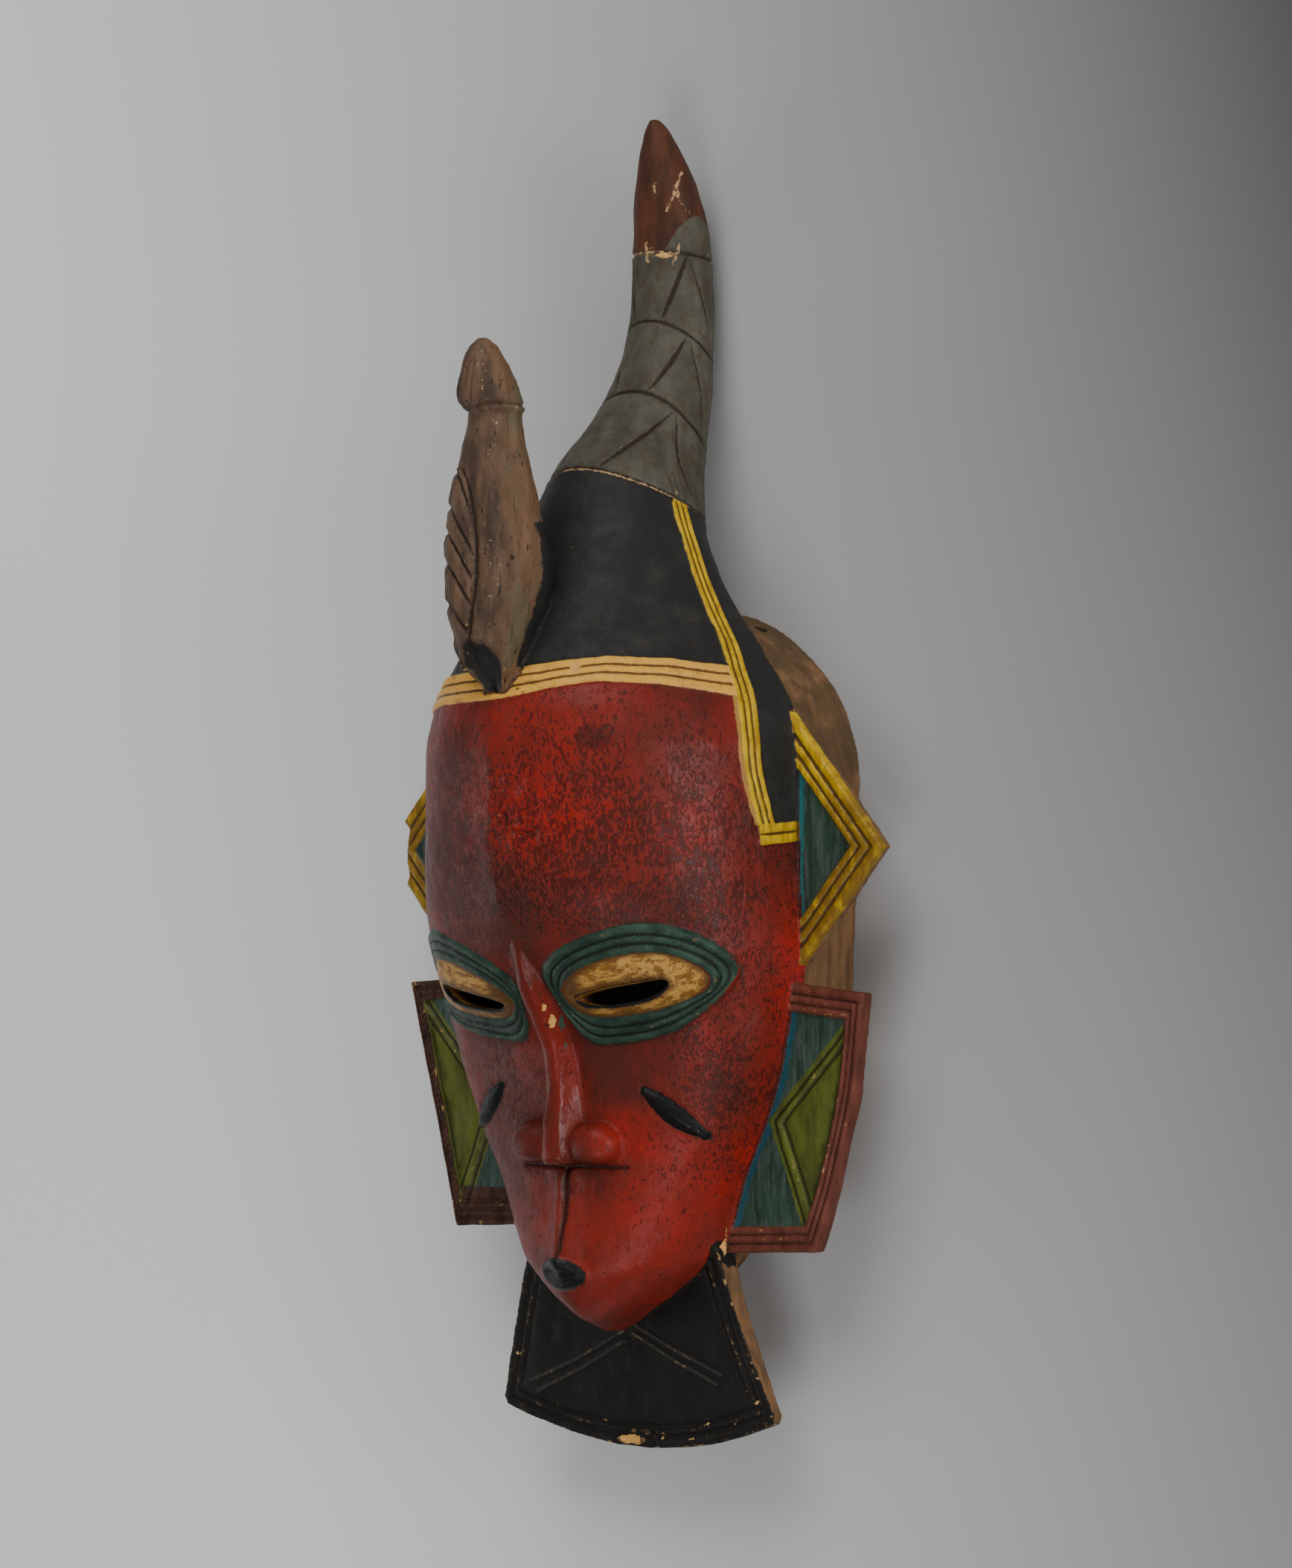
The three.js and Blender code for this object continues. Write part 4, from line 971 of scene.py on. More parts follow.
def add_rear_wall(block):
    arch = [(ARCH_HALF * cos(a), ARCH_Y + ARCH_HEIGHT * sin(a)) for a in np.linspace(0, pi, 60)]
    heights = np.linspace(WALL_BOTTOM_Y, ARCH_Y, 60)[:-1]
    half = np.minimum(along(HEAD, heights, 1) - 0.6, ARCH_HALF + WALL_TAPER * heights)
    cheek = list(zip(half, heights))
    outline = cheek + arch + [(-x, y) for x, y in reversed(cheek)]

    def back(y):
        lift = 1 - smoothstep(HEEL_TO, HEEL_FROM, y)
        return -RIM_DEPTH + (HEEL_DEPTH + RIM_DEPTH) * lift
    block.plate(outline, back, WALL_FRONT)


def add_nose(block):
    rings = []
    for y in np.linspace(NOSE[0, 0], NOSE[-1, 0], 60):
        ridge, top, foot = (along(NOSE, np.array([y]), k)[0] for k in (1, 2, 3))
        base = along(HEAD, np.array([y]), 2)[0] - 5
        side = [(-foot, base), (-(top + foot) / 2 + 0.9, (base + ridge) / 2 + 1.2), (-top, ridge - 0.9),
                (-top * 0.55, ridge - 0.15)]
        half = side + [(0, ridge)] + [(-x, z) for x, z in reversed(side)]
        rings.append([(x, y, z) for x, z in half])
    block.add(rings)
    turn, tilt = grid(np.linspace(0.04, pi - 0.04, 24), np.linspace(0, 2 * pi, 32, endpoint=False))
    a, b, c = NOSTRIL["half"]
    for side in (1, -1):
        ball = np.stack([np.sin(turn) * np.cos(tilt), np.cos(turn), np.sin(turn) * np.sin(tilt)], -1)
        ball = np.sign(ball) * np.abs(ball) ** (0.95, 0.95, 0.8)
        ball[..., 1] = np.where(ball[..., 1] < 0, -np.abs(ball[..., 1]) ** 0.55, ball[..., 1])
        block.add(ball * (a, b, c) + (NOSTRIL["x"] * side, NOSTRIL["y"], NOSTRIL["z"]))


def add_bird(block):
    heights = np.concatenate([np.linspace(35, 140.8, 90), np.linspace(141.4, 169.5, 30)])
    y, angle = grid(heights, np.radians(np.linspace(0, 360, 64, endpoint=False)))
    block.add(bird_points(y.ravel(), angle.ravel()).reshape(len(heights), 64, 3))
    rings = []
    for share in np.linspace(0, 1, 8):
        y, z, r = 157.5 + 8.5 * share, 86 - 1.7 * share, 2.5 - 2.1 * share
        rings.append([(r * cos(a), y + r * sin(a), z) for a in np.linspace(0, 2 * pi, 20, endpoint=False)])
    block.add(rings)


def left_upper_broken():
    """The left upper plate's outline with its lost tip cut away."""
    top, tip, bottom = LEFT_UPPER

    def on_edge(a, b, y):
        return (a[0] + (b[0] - a[0]) * (y - a[1]) / (b[1] - a[1]), y)
    broken = [on_edge(top, tip, LEFT_LOSS_TOP_Y), *LEFT_TIP_LOSS, on_edge(tip, bottom, LEFT_LOSS_BOTTOM_Y)]
    return [(-x, y) for x, y in (top, *broken, bottom)]


def add_plates(block):
    for outline, side, front, *_ in ears():
        if side < 0 and front == UPPER_FRONT:
            outline = left_upper_broken()
        block.plate(outline, front - EAR_THICKNESS, front)
    heights = np.linspace(BEARD["topY"], BEARD["cornerY"] + 2.5, 30)
    right, left = (np.column_stack([side * beard_half(side, heights), heights]) for side in (1, -1))
    x = np.linspace(BEARD["right"][0] - 2, 2 - BEARD["left"][0], 90)
    outline = np.vstack([right, np.column_stack([x, beard_hem(x)]), left[::-1]])
    block.plate(outline, beard_back, beard_front)


def relief_height(p, n):
    """Height of every carved detail over the plain block, at points with their outward directions."""
    x, y, z = p.T
    high = np.zeros(len(p))
    front = (n[:, 2] > 0.05) & (np.abs(x) < along(HEAD, y, 1) + 1) & ~in_bird(p)
    for side in (1, -1):
        share, r, lid, ring = eye_share(p, side)
        near = front & (share < 1.3) & (y < -40) & (y > -110) & (x * side > -4)
        ribs = 1.3 * smoothstep(1.08, 0.9, share) * smoothstep(-0.1, 0.06, share)
        for middle in (0.34, 0.67):
            ribs += groove((share - middle) * (ring - lid), 1.5, 1.1)
        swell = 2.4 * np.sqrt(np.clip(1 - (r / lid) ** 2.2, 0, 1))
        high += np.where(near, ribs + np.where(share < 0, swell, 0), 0)
        route = [(a * side, b) for a, b in SCAR]
        away, place = path_distance(x, y, route)
        width = SCAR_WIDTH / 2 * np.maximum(np.sin(pi * np.clip(place, 0.03, 0.97)), 0.1) ** 0.5
        lens = 1.5 * np.clip(1 - away / width, 0, 1) ** 0.8
        high += np.where(front & (away < 8), lens - 0.5 * np.exp(-((away - width - 0.6) / 0.7) ** 2), 0)
    oval = mouth_share(x, y)
    lips = 1.5 * np.exp(-((oval - 0.78) / 0.24) ** 2) + 0.9 * smoothstep(0.9, 0.5, oval)
    lips += groove(y - MOUTH_Y - 0.8, 1.4, 0.7) * smoothstep(0.8, 0.5, oval)
    high += np.where(front & (oval < 1.6) & (y > -199), lips, 0)
    away, place = path_distance(x, y, PHILTRUM)
    high += np.where(front & (away < 7), groove(away, 3.6, 1.9) * smoothstep(0, 0.15, place), 0)
    foot = front & (x > -27) & (x < 31) & (y > -153) & (y < -142)
    ends = smoothstep(-27, -23, x) * smoothstep(31, 26, x)
    high += np.where(foot, groove(y - NOSE_FOOT_Y, 1.8, 1.2) * ends, 0)
    across = side_across(p)
    brow = ribbed(band_across(p), 3, 3.8, 1.0) * smoothstep(2.5, 5, across)
    high += np.where(front & (np.abs(x) < 71), brow, 0)
    sided = on_side(p) & ~in_bird(p) & (n[:, 2] > -0.3)
    high += np.where(sided & (y > -16), ribbed(across, 3, 2.7, 1.0), 0)
    temple = (y > -27) & (y < -10) & (np.abs(x) > 68) & (z > -1) & (z < TEMPLE_FROM + 4)
    temple &= np.abs(x) < along(HEAD, y, 1) + 0.6
    fade = smoothstep(TEMPLE_FROM + 4, TEMPLE_FROM + 2, z)
    high += np.where(temple, ribbed(temple_across(p), 2, 3.9, 1.0) * fade, 0)
    high += horn_height(p) + bird_height(p) + plate_height(p, n) + beard_height(p, n)
    high += wear_height(p, n, front)
    return high


def wear_height(p, n, front):
    """Lumps in the paint, grain of the raw wood, and chips knocked out of edges."""
    x, y, z = p.T
    a, b, ra, rb = PATCH
    patch = np.exp(-(((x - a) / ra) ** 4 + ((y - b) / rb) ** 4))
    lumps = 1 - 3 * np.abs(noise(p * (1, 0.8, 1), 5.5, 11)) - np.abs(noise(p, 3, 12))
    high = np.where(front, patch * lumps * 0.8, 0)
    a, b, ra, rb = BLEMISH
    reach = np.hypot((x - a) / ra, (y - b) / rb)
    high += np.where(front, 0.6 * np.exp(-((reach - 0.8) / 0.3) ** 2), 0)
    high += np.where(front, 0.12 * noise(p * (1, 0.5, 1), 1.7, 13) + 0.10 * noise(p, 4.5, 14), 0)
    under = front & (y < -149) & (y > -160) & (np.abs(x - 12) < 9)
    high += np.where(under, 0.5 * noise(p, 2.2, 15), 0)
    raw = (z < 0) & (y > -196)
    high += np.where(raw, 0.22 * noise(p * (1, 0.12, 1), 1.6, 16) + 0.2 * noise(p * (1, 0.3, 1), 7, 17), 0)
    across = sight_across(p)
    for s, t, rs, rt, deep in CHIPS:
        reach = np.hypot((across - s) / rs, (y - t) / rt) + 0.25 * noise(p, 1.8, 18)
        high -= np.where(n[:, 2] > -0.4, deep * smoothstep(1.1, 0.8, reach), 0)
    return high


def chevron_distance(p, angle, low, up, foot):
    """Distance from one leg of the chevron between two rings, and the share of the leg."""
    share = (angle - foot) / (CHEVRON["apex"] - foot)
    start = low[0] - low[1] * (1 - cos(radians(foot))) / 2
    end = up[0] - up[1] * (1 - cos(radians(CHEVRON["apex"]))) / 2
    run = along(HEAD, p[:, 1], 1) * radians(abs(CHEVRON["apex"] - foot))
    lean = np.sqrt(1 + ((end - start) / run) ** 2)
    return np.abs(p[:, 1] - (start + (end - start) * np.clip(share, -0.2, 1.2))) / lean, share


def horn_height(p):
    high = np.zeros(len(p))
    horn = (p[:, 1] > 88) & ~in_bird(p)
    for ring in HORN_RINGS:
        away = ring_distance(p, ring)
        cut_ring = groove(away, 1.8, 1.3) + 0.35 * smoothstep(4, 0, np.abs(away))
        high += np.where(horn & (np.abs(away) < 4), cut_ring, 0)
    angle = np.degrees(horn_angle(p))
    for low, up, side, foot, (width, deep) in chevron_legs((2.1, 1.2), (1.1, 0.9)):
        away, share = chevron_distance(p, angle * side, low, up, foot)
        cut_in = horn & (share > 0.0) & (share < 0.97) & (away < 4)
        wide = width * (0.45 + 0.55 * np.sin(pi * np.clip(share, 0.05, 0.95)))
        high += np.where(cut_in, groove(away, wide, deep) * smoothstep(0, 0.12, share), 0)
    return high


def bird_height(p):
    x, y = p[:, 0], p[:, 1]
    bird, share = in_bird(p), wing_share(p)
    half, angle = along(BIRD, y, 1), bird_angle(p)
    near = bird & (share < 1.6)
    high = np.where(near, 1.3 * smoothstep(1.05, 0.95, share), 0)
    high += np.where(near, groove((share - 1.07) * half * 0.8, 2.0, 1.2), 0)
    for feather in FEATHERS:
        high += np.where(bird & (share < 1), groove(feather_distance(p, feather), 1.6, 1.4), 0)
    lobe = np.hypot((angle + 62) / 34, (y - 47) / 10)
    high += np.where(bird, 1.6 * smoothstep(1.1, 0.5, lobe), 0)
    body = smoothstep(50, 70, y) * smoothstep(141, 128, y)
    high += np.where(bird, 1.6 * np.exp(-((angle - KEEL_TURN) / 10) ** 2) * body, 0)
    high -= np.where(bird, 1.3 * np.exp(-((angle - KEEL_TURN - 40) / 22) ** 2) * body, 0)
    high += np.where(bird, 0.5 * noise(p * (1, 0.35, 1), 3.5, 21) + 0.2 * noise(p, 1.6, 22), 0)
    scoop = np.hypot((angle - 12) / 50, (y - 41) / 13)
    bowl = 0.8 * np.exp(-((scoop - 1.1) / 0.12) ** 2) - 2.6 * smoothstep(1.0, 0.5, scoop)
    high += np.where(bird & (y < 56), bowl, 0)
    head = bird & (y > 138)
    away = y - (142.6 + 0.15 * x)
    high += np.where(bird & (np.abs(away) < 4), groove(away, 1.8, 1.0), 0)
    brow = 0.9 * smoothstep(142, 146, y) * smoothstep(160, 148, y) * smoothstep(-5, -30, angle)
    high += np.where(head, brow, 0)
    for turn in (-34, -16, 2):
        ridge = groove((angle - turn - (y - 150) * 1.3) * half * 0.017, 1.3, 0.7)
        high += np.where(head & (y < 161) & (away > 1), ridge, 0)
    eye, _ = path_distance(angle * 0.18, y, [(11.6, 150), (13.2, 155)])
    high += np.where(head, groove(eye, 1.2, 0.8), 0)
    return high


def plate_height(p, n):
    high = np.zeros(len(p))
    for outline, side, front, open_edges, widths in ears():
        flat = on_plate(p, outline, front) & (n[:, 2] > 0.3)
        depth = inside_edges(p[:, 0], p[:, 1], outline, open_edges, widths)
        draw = FRAME_WIDTH / (min(widths[:-1]) if widths else FRAME_WIDTH)
        sink = -PANEL_SINK * smoothstep(FRAME_WIDTH - 0.3 * draw, FRAME_WIDTH + 0.8 * draw, depth)
        lines = groove(depth - 4.3, 1.5 * draw ** 0.6, 1.2) + groove(depth - 8.3, 1.4 * draw ** 0.6, 1.1)
        high += np.where(flat, sink + lines, 0)
        if front == LOWER_FRONT:
            leaf = RIGHT_LEAF if side > 0 else LEFT_LEAF
            away, place = path_distance(p[:, 0], p[:, 1], leaf)
            wide = 1.6 + 0.7 * smoothstep(0.45, 0.65, place)
            bead = PANEL_SINK * 0.6 * smoothstep(wide, wide - 1, away) + groove(away - wide, 1.7, 0.9)
            high += np.where(flat & (depth > FRAME_WIDTH + 0.5), bead, 0)
    return high


def beard_lines(p):
    """Distance from the nearest line along the beard plate's edges, and from the nearest in its field."""
    x, y = p[:, 0], p[:, 1]
    lines = []
    half, corner = beard_half(x, y), beard_half(x, BEARD["cornerY"])
    for inner in (4.5, 8.5):
        lines.append(np.where(y > BEARD["cornerY"] + inner, np.abs(half - np.abs(x) - inner), 9))
        lines.append(np.where(np.abs(x) < corner - inner, np.abs(y - beard_hem(x) - inner), 9))
    inner = np.minimum.reduce([path_distance(x, y, route)[0] for route in BEARD_LINES])
    return np.minimum.reduce(lines), inner


def on_beard(p):
    flat = np.abs(p[:, 2] - beard_front(p[:, 1])) < 1.6
    out, _ = head_depth(p)
    return flat & (p[:, 1] < -176) & (np.abs(p[:, 0]) < beard_half(p[:, 0], p[:, 1]) + 1) & (out < -3)


def beard_height(p, n):
    plate = (np.abs(p[:, 2] - beard_front(p[:, 1])) < 1.6) & (p[:, 1] < -176) & (n[:, 2] > 0.5)
    rim, inner = beard_lines(p)
    high = np.where(plate, groove(rim, 1.8, 1.0) + 0.8 * np.exp(-(inner / 0.8) ** 2), 0)
    return high + np.where(plate, 0.25 * noise(p * (1, 0.5, 1), 6, 23), 0)


def hollow_cutter():
    heights = np.linspace(HOLLOW_BOTTOM_Y, HOLLOW_TOP_Y, 90)
    half, front, _, fullness, _ = head_section(heights)
    arch = np.clip((heights - ARCH_Y) / (HOLLOW_TOP_Y - ARCH_Y + 0.5), 0, 1)
    arch_half = (ARCH_HALF - SIDE_WALL) * np.sqrt(1 - arch ** 2)
    chin = np.sqrt(1 - np.clip((-160 - heights) / (-160 - HOLLOW_BOTTOM_Y + 1), 0, 1) ** 2.5)
    width = np.minimum((half - SIDE_WALL) * chin, arch_half)
    deep = (front - FACE_WALL) * np.sqrt(1 - arch ** 3 * 0.98) * (0.25 + 0.75 * chin)
    angles = np.radians(np.linspace(-90, 90, 60))
    rings = []
    for y, w, d, f in zip(heights, width, deep, fullness):
        arc = [(w * sin(a), y, d * max(0, cos(a)) ** (2 / f)) for a in angles]
        rings.append(arc + [(w, y, -RIM_DEPTH - 4), (-w, y, -RIM_DEPTH - 4)])
    block = Block()
    block.add(rings)
    return link("hollow", block.mesh("hollow"))


def slit_cutter(side):
    outline = eye_curve(EYE_SLIT, side, 72)
    block = Block()
    block.plate(outline, 0.0, 100.0)
    return link("slit", block.mesh("slit"))


def cord_cutter(side):
    h = CORD_HOLE
    out = Vector((h["x"] * side / ARCH_HALF ** 2, (h["y"] - ARCH_Y) / ARCH_HEIGHT ** 2, 0)).normalized()
    middle = Vector((h["x"] * side, h["y"], h["z"]))
    across = Vector((-out.y, out.x, 0))
    rings = []
    for reach in np.linspace(-h["length"] / 2, h["length"] / 2, 3):
        centre = middle + out * float(reach)
        rings.append([tuple(centre + (across * cos(a) + Vector((0, 0, 1)) * sin(a)) * h["radius"])
                      for a in np.linspace(0, 2 * pi, 24, endpoint=False)])
    block = Block()
    block.add(rings)
    return link("hole", block.mesh("hole"))


def outward(piece):
    """Turns a cutter's faces outwards."""
    bpy.context.view_layer.objects.active = piece
    bpy.ops.object.mode_set(mode="EDIT")
    bpy.ops.mesh.select_all(action="SELECT")
    bpy.ops.mesh.normals_make_consistent(inside=False)
    bpy.ops.mesh.quads_convert_to_tris()
    bpy.ops.object.mode_set(mode="OBJECT")
    return piece


class MASK_OT_carve_block(bpy.types.Operator):
    """Joins head, horn, bird, plates and rear wall into one skin"""

    bl_idname = "mask.carve_block"
    bl_label = "Carve the Block"

    def execute(self, context):
        settings = context.scene.mask_settings
        block = Block()
        for add in (add_head, add_rear_wall, add_nose, add_bird, add_plates):
            add(block)
        piece = link("carved_mask", block.mesh("carved_mask"))
        apply_modifier(piece, "REMESH", mode="VOXEL", voxel_size=settings.voxel, adaptivity=0)
        smooth(piece.data, 2, 0.5)
        return {"FINISHED"}


class MASK_OT_carve_relief(bpy.types.Operator):
    """Raises ribs, lids, scars and lips, and cuts the grooves"""

    bl_idname = "mask.carve_relief"
    bl_label = "Carve the Relief"

    def execute(self, context):
        settings = context.scene.mask_settings
        mesh = bpy.data.objects["carved_mask"].data
        p, n = coordinates(mesh), normals(mesh)
        near_nose = (np.abs(p[:, 0]) < 30) & (p[:, 1] > -152) & (p[:, 1] < -62) & (p[:, 2] > 30)
        smooth(mesh, 4, 0.5, near_nose.astype(float))
        muzzle = (np.abs(p[:, 0]) < 17) & (p[:, 1] > -197) & (p[:, 1] < -149) & (p[:, 2] > 38)
        smooth(mesh, 24, 0.6, muzzle.astype(float))
        p, n = coordinates(mesh), normals(mesh)
        p += n * relief_height(p, n)[:, None]
        rough = settings.unevenness / MM
        p += n * (rough * (noise(p, 17, 3) + 0.6 * noise(p, 7, 5)))[:, None]
        p[:, 1] += np.where(p[:, 1] < -250, 1.8 * np.exp(-((p[:, 0] - HEM_NOTCH_X) / 0.8) ** 2), 0)
        move_to(mesh, p)
        smooth(mesh, 1, 0.3)
        store(mesh, "curve", surface_curve(mesh))
        return {"FINISHED"}


class MASK_OT_hollow_out(bpy.types.Operator):
    """Hollows the back, opens the eye slits and bores the cord holes"""

    bl_idname = "mask.hollow_out"
    bl_label = "Hollow Out"

    def execute(self, context):
        piece = bpy.data.objects["carved_mask"]
        for make in (hollow_cutter, lambda: slit_cutter(1), lambda: slit_cutter(-1),
                     lambda: cord_cutter(1), lambda: cord_cutter(-1)):
            cut(piece, outward(make()))
        count = sum(len(face.vertices) - 2 for face in piece.data.polygons)
        limit = context.scene.mask_settings.faces * 1000
        if count > limit:
            apply_modifier(piece, "DECIMATE", ratio=limit / count)
        piece.data.shade_smooth()
        return {"FINISHED"}


class Finish:
    """A material under construction, with short names for its nodes."""

    def __init__(self, name):
        self.material = bpy.data.materials.new(name)
        self.material.use_nodes = True
        self.tree = self.material.node_tree
        self.shader = self.tree.nodes["Principled BSDF"]
        self.place = self.node("ShaderNodeTexCoord").outputs["Object"]
        self.tones = bpy.context.scene.mask_paints

    def node(self, kind, **settings):
        made = self.tree.nodes.new(kind)
        for key, value in settings.items():
            setattr(made, key, value)
        return made

    def feed(self, socket, value):
        if isinstance(value, bpy.types.NodeSocket):
            self.tree.links.new(value, socket)
        elif socket.type == "RGBA":
            socket.default_value = (*value, 1)
        else:
            socket.default_value = value

    def field(self, name):
        return self.node("ShaderNodeAttribute", attribute_name=name).outputs["Fac"]

    def math(self, operation, *values):
        made = self.node("ShaderNodeMath", operation=operation)
        for socket, value in zip(made.inputs, values):
            self.feed(socket, value)
        return made.outputs[0]

    def mix(self, share, first, second):
        made = self.node("ShaderNodeMix", data_type="RGBA", clamp_factor=True)
        self.feed(made.inputs[0], share)
        self.feed(made.inputs[6], first)
        self.feed(made.inputs[7], second)
        return made.outputs[2]

    def fade(self, value, low, high, to_low=0.0, to_high=1.0):
        made = self.node("ShaderNodeMapRange", interpolation_type="SMOOTHSTEP", clamp=True)
        for socket, given in zip(made.inputs, (value, low, high, to_low, to_high)):
            self.feed(socket, given)
        return made.outputs[0]

    def lumps(self, size, detail=2.0, rough=0.5, stretch=(1, 1, 1), shift=0.0, swirl=0.0):
        """Noise from nought to one, with lumps of a size in millimetres, drawn out along an axis."""
        place = self.node("ShaderNodeMapping")
        self.feed(place.inputs["Vector"], self.place)
        place.inputs["Location"].default_value = (shift, shift * 0.7, shift * 1.3)
        place.inputs["Scale"].default_value = tuple(1 / s for s in stretch)
        made = self.node("ShaderNodeTexNoise", noise_dimensions="3D")
        self.feed(made.inputs["Vector"], place.outputs[0])
        made.inputs["Scale"].default_value = 1000 / size
        made.inputs["Detail"].default_value = detail
        made.inputs["Roughness"].default_value = rough
        made.inputs["Distortion"].default_value = swirl
        return made.outputs["Fac"]

    def inside(self, name, ragged=0.5, soft=0.25, size=2.0, shift=0.0):
        """Share of a painted region, with a brushed edge."""
        wander = self.math("SUBTRACT", self.lumps(size, 3, 0.6, shift=shift), 0.5)
        wander = self.math("MULTIPLY", wander, ragged * 4)
        return self.fade(self.math("ADD", self.field(name), wander), -soft, soft)

    def wash(self, colour, share, strength, tone):
        """Lays a tone over a colour where a share says, up to a strength."""
        return self.mix(self.math("MULTIPLY", share, strength), colour, tone)

    def shade_in_grooves(self, colour, low, high, strength, tone):
        """Lays a tone into the grooves of a colour by their depth: painted shade."""
        return self.wash(colour, self.fade(self.field("curve"), low, high), strength, tone)

    def coat(self, colour, paint, name, *edge):
        """Lays a paint over its own region."""
        return self.mix(self.inside(name, *edge), colour, paint)

    def spots(self, low, high, *lumps, shift=0.0):
        """Share of the surface under noise that rises between two levels."""
        return self.fade(self.lumps(*lumps, shift=shift), low, high)

    def streaked(self, dark, light, size, stretch, low, high, shift=0.0):
        """Two tones of one paint, brushed along an axis."""
        return self.mix(self.spots(low, high, size, 4, 0.6, stretch, shift=shift), dark, light)


def red_paint(f):
    """Red of the face, and the share of it that is pitted."""
    t = f.tones
    cloud = f.lumps(38, 3, 0.55, shift=1.3)
    fine = f.lumps(7, 4, 0.6, (1, 1.8, 1), 4.1)
    tone = f.math("ADD", f.math("MULTIPLY", cloud, 0.9), f.math("MULTIPLY", fine, 0.5))
    tone = f.math("ADD", tone, f.math("MULTIPLY", f.field("bright"), 0.42))
    dull = f.mix(f.fade(tone, 0.45, 0.95), t.red_dark, t.red_mid)
    red = f.mix(f.fade(tone, 0.82, 1.35), dull, t.red_fresh)
    spot = f.lumps(1.3, 2, 0.55, (1, 2, 1), 7.7, swirl=0.8)
    crowd = f.math("MULTIPLY", f.field("flecks"), f.spots(0.1, 0.6, 17, 2, 0.5, shift=9.2))
    level = f.math("SUBTRACT", 0.675, f.math("MULTIPLY", crowd, 0.18))
    flecks = f.fade(f.math("SUBTRACT", spot, level), -0.04, 0.06)
    red = f.wash(red, flecks, 0.7, t.red_pit_and_shade)
    return f.wash(red, f.inside("smudge", 0.8, 0.8, 2.5, 2.2), 0.6, t.red_pit_and_shade), flecks


def hair_paint(f, t):
    hair = f.streaked(t.hair_black, t.hair_worn, 16, (1, 1, 1), 0.42, 0.85, 2.2)
    return f.wash(hair, f.spots(0.8, 0.84, 1.7, 1, 0.5, shift=5.5), 0.7, t.cream)


def cream_paint(f, t):
    cream = f.streaked(t.cream_worn, t.cream, 5, (3, 1, 1), 0.2, 0.52, 6.1)
    cream = f.mix(f.spots(0.68, 0.76, 2.2, 3, 0.6, (2.2, 1, 1), shift=8.8), cream, t.brown_line_and_shade)
    # Painted shade in the grooves of the cream band.
    return f.shade_in_grooves(cream, 0.02, 0.22, 0.9, t.brown_line_and_shade)


def yellow_paint(f, t):
    yellow = f.streaked(t.yellow_deep, t.yellow, 4, (1, 3.5, 1), 0.3, 0.6, 3.9)
    dull = f.spots(0.2, 0.55, 5, 4, 0.65, (1, 2, 1), shift=2.6)
    dull = f.math("MULTIPLY", f.fade(f.field("dull"), 0, 4), dull)
    yellow = f.wash(yellow, dull, 0.9, t.yellow_brown)
    # Painted shade in the grooves of the yellow.
    return f.shade_in_grooves(yellow, 0.02, 0.25, 0.92, t.brown_line_and_shade)


def ring_paint(f, t):
    ring = f.streaked(t.teal_dark, t.teal, 6, (1.6, 1, 1), 0.3, 0.72, 7.3)
    # Painted shade in the grooves of the eye rings.
    return f.shade_in_grooves(ring, 0.03, 0.28, 0.9, t.teal_groove_shade)


def lid_paint(f, t):
    """Gold and cream of the lids, brown round their margins and at the ends of the slits."""
    margin = f.math("ADD", f.field("lid"), f.math("MULTIPLY", f.lumps(5, 3, 0.6, shift=4.4), 3))
    lid = f.streaked(t.lid_gold, t.lid_cream, 2.4, (3.5, 1, 1), 0.42, 0.56, 5.9)
    lid = f.mix(f.fade(margin, 1.2, 4.5), t.lid_brown, lid)
    lid = f.wash(lid, f.spots(0.62, 0.7, 1.5, 2, 0.6, shift=2.8), 0.7, t.lid_brown)
    lash = f.math("ADD", f.field("lash"), f.math("MULTIPLY", f.lumps(3, 4, 0.7, (2, 1, 1), 1.9), 4))
    return f.wash(lid, f.fade(lash, 1.4, 4.0), 0.85, t.lid_brown)


def panel_paint(f, t):
    panel = f.streaked(t.teal_dark, t.teal, 3.5, (1, 5, 1), 0.3, 0.72, 1.9)
    panel = f.mix(f.spots(0.42, 0.7, 2.2, 3, 0.7, (1, 8, 1), shift=6.3), panel, t.slate)
    panel = f.wash(panel, f.inside("blue", 1.2, 1.6, 6.0, 3.1), 0.85, t.blue)
    return f.coat(panel, t.teal_fresh, "fresh", 0.6, 0.6, 3.0, 4.3)


def olive_paint(f, t):
    olive = f.streaked(t.olive_dark, t.olive, 5, (1, 3, 1), 0.25, 0.7, 4.7)
    # Painted shade in the grooves of the leaves.
    return f.shade_in_grooves(olive, 0.02, 0.3, 0.85, t.olive_groove_shade)


def frame_paint(f, t):
    """Red-brown of the lower plates' frames, which is a dull brown on the left."""
    frame = f.streaked(t.frame_dark, t.frame_red, 5, (1, 3, 1), 0.3, 0.7, 8.1)
    left = f.streaked(t.frame_groove_and_shade, t.frame_left, 4, (1, 3, 1), 0.3, 0.7)
    frame = f.mix(f.fade(f.field("left"), 0, 1), frame, left)
    # Painted shade in the grooves of the frames.
    return f.shade_in_grooves(frame, 0.06, 0.5, 0.75, t.frame_groove_and_shade)


def horn_paint(f, t):
    horn = f.streaked(t.horn_dark, t.horn_grey, 9, (1, 1.6, 1), 0.3, 0.72, 6.6)
    return f.wash(horn, f.spots(0.52, 0.66, 6, 4, 0.65, (1, 1.4, 1), shift=1.4), 0.6, t.horn_brown)


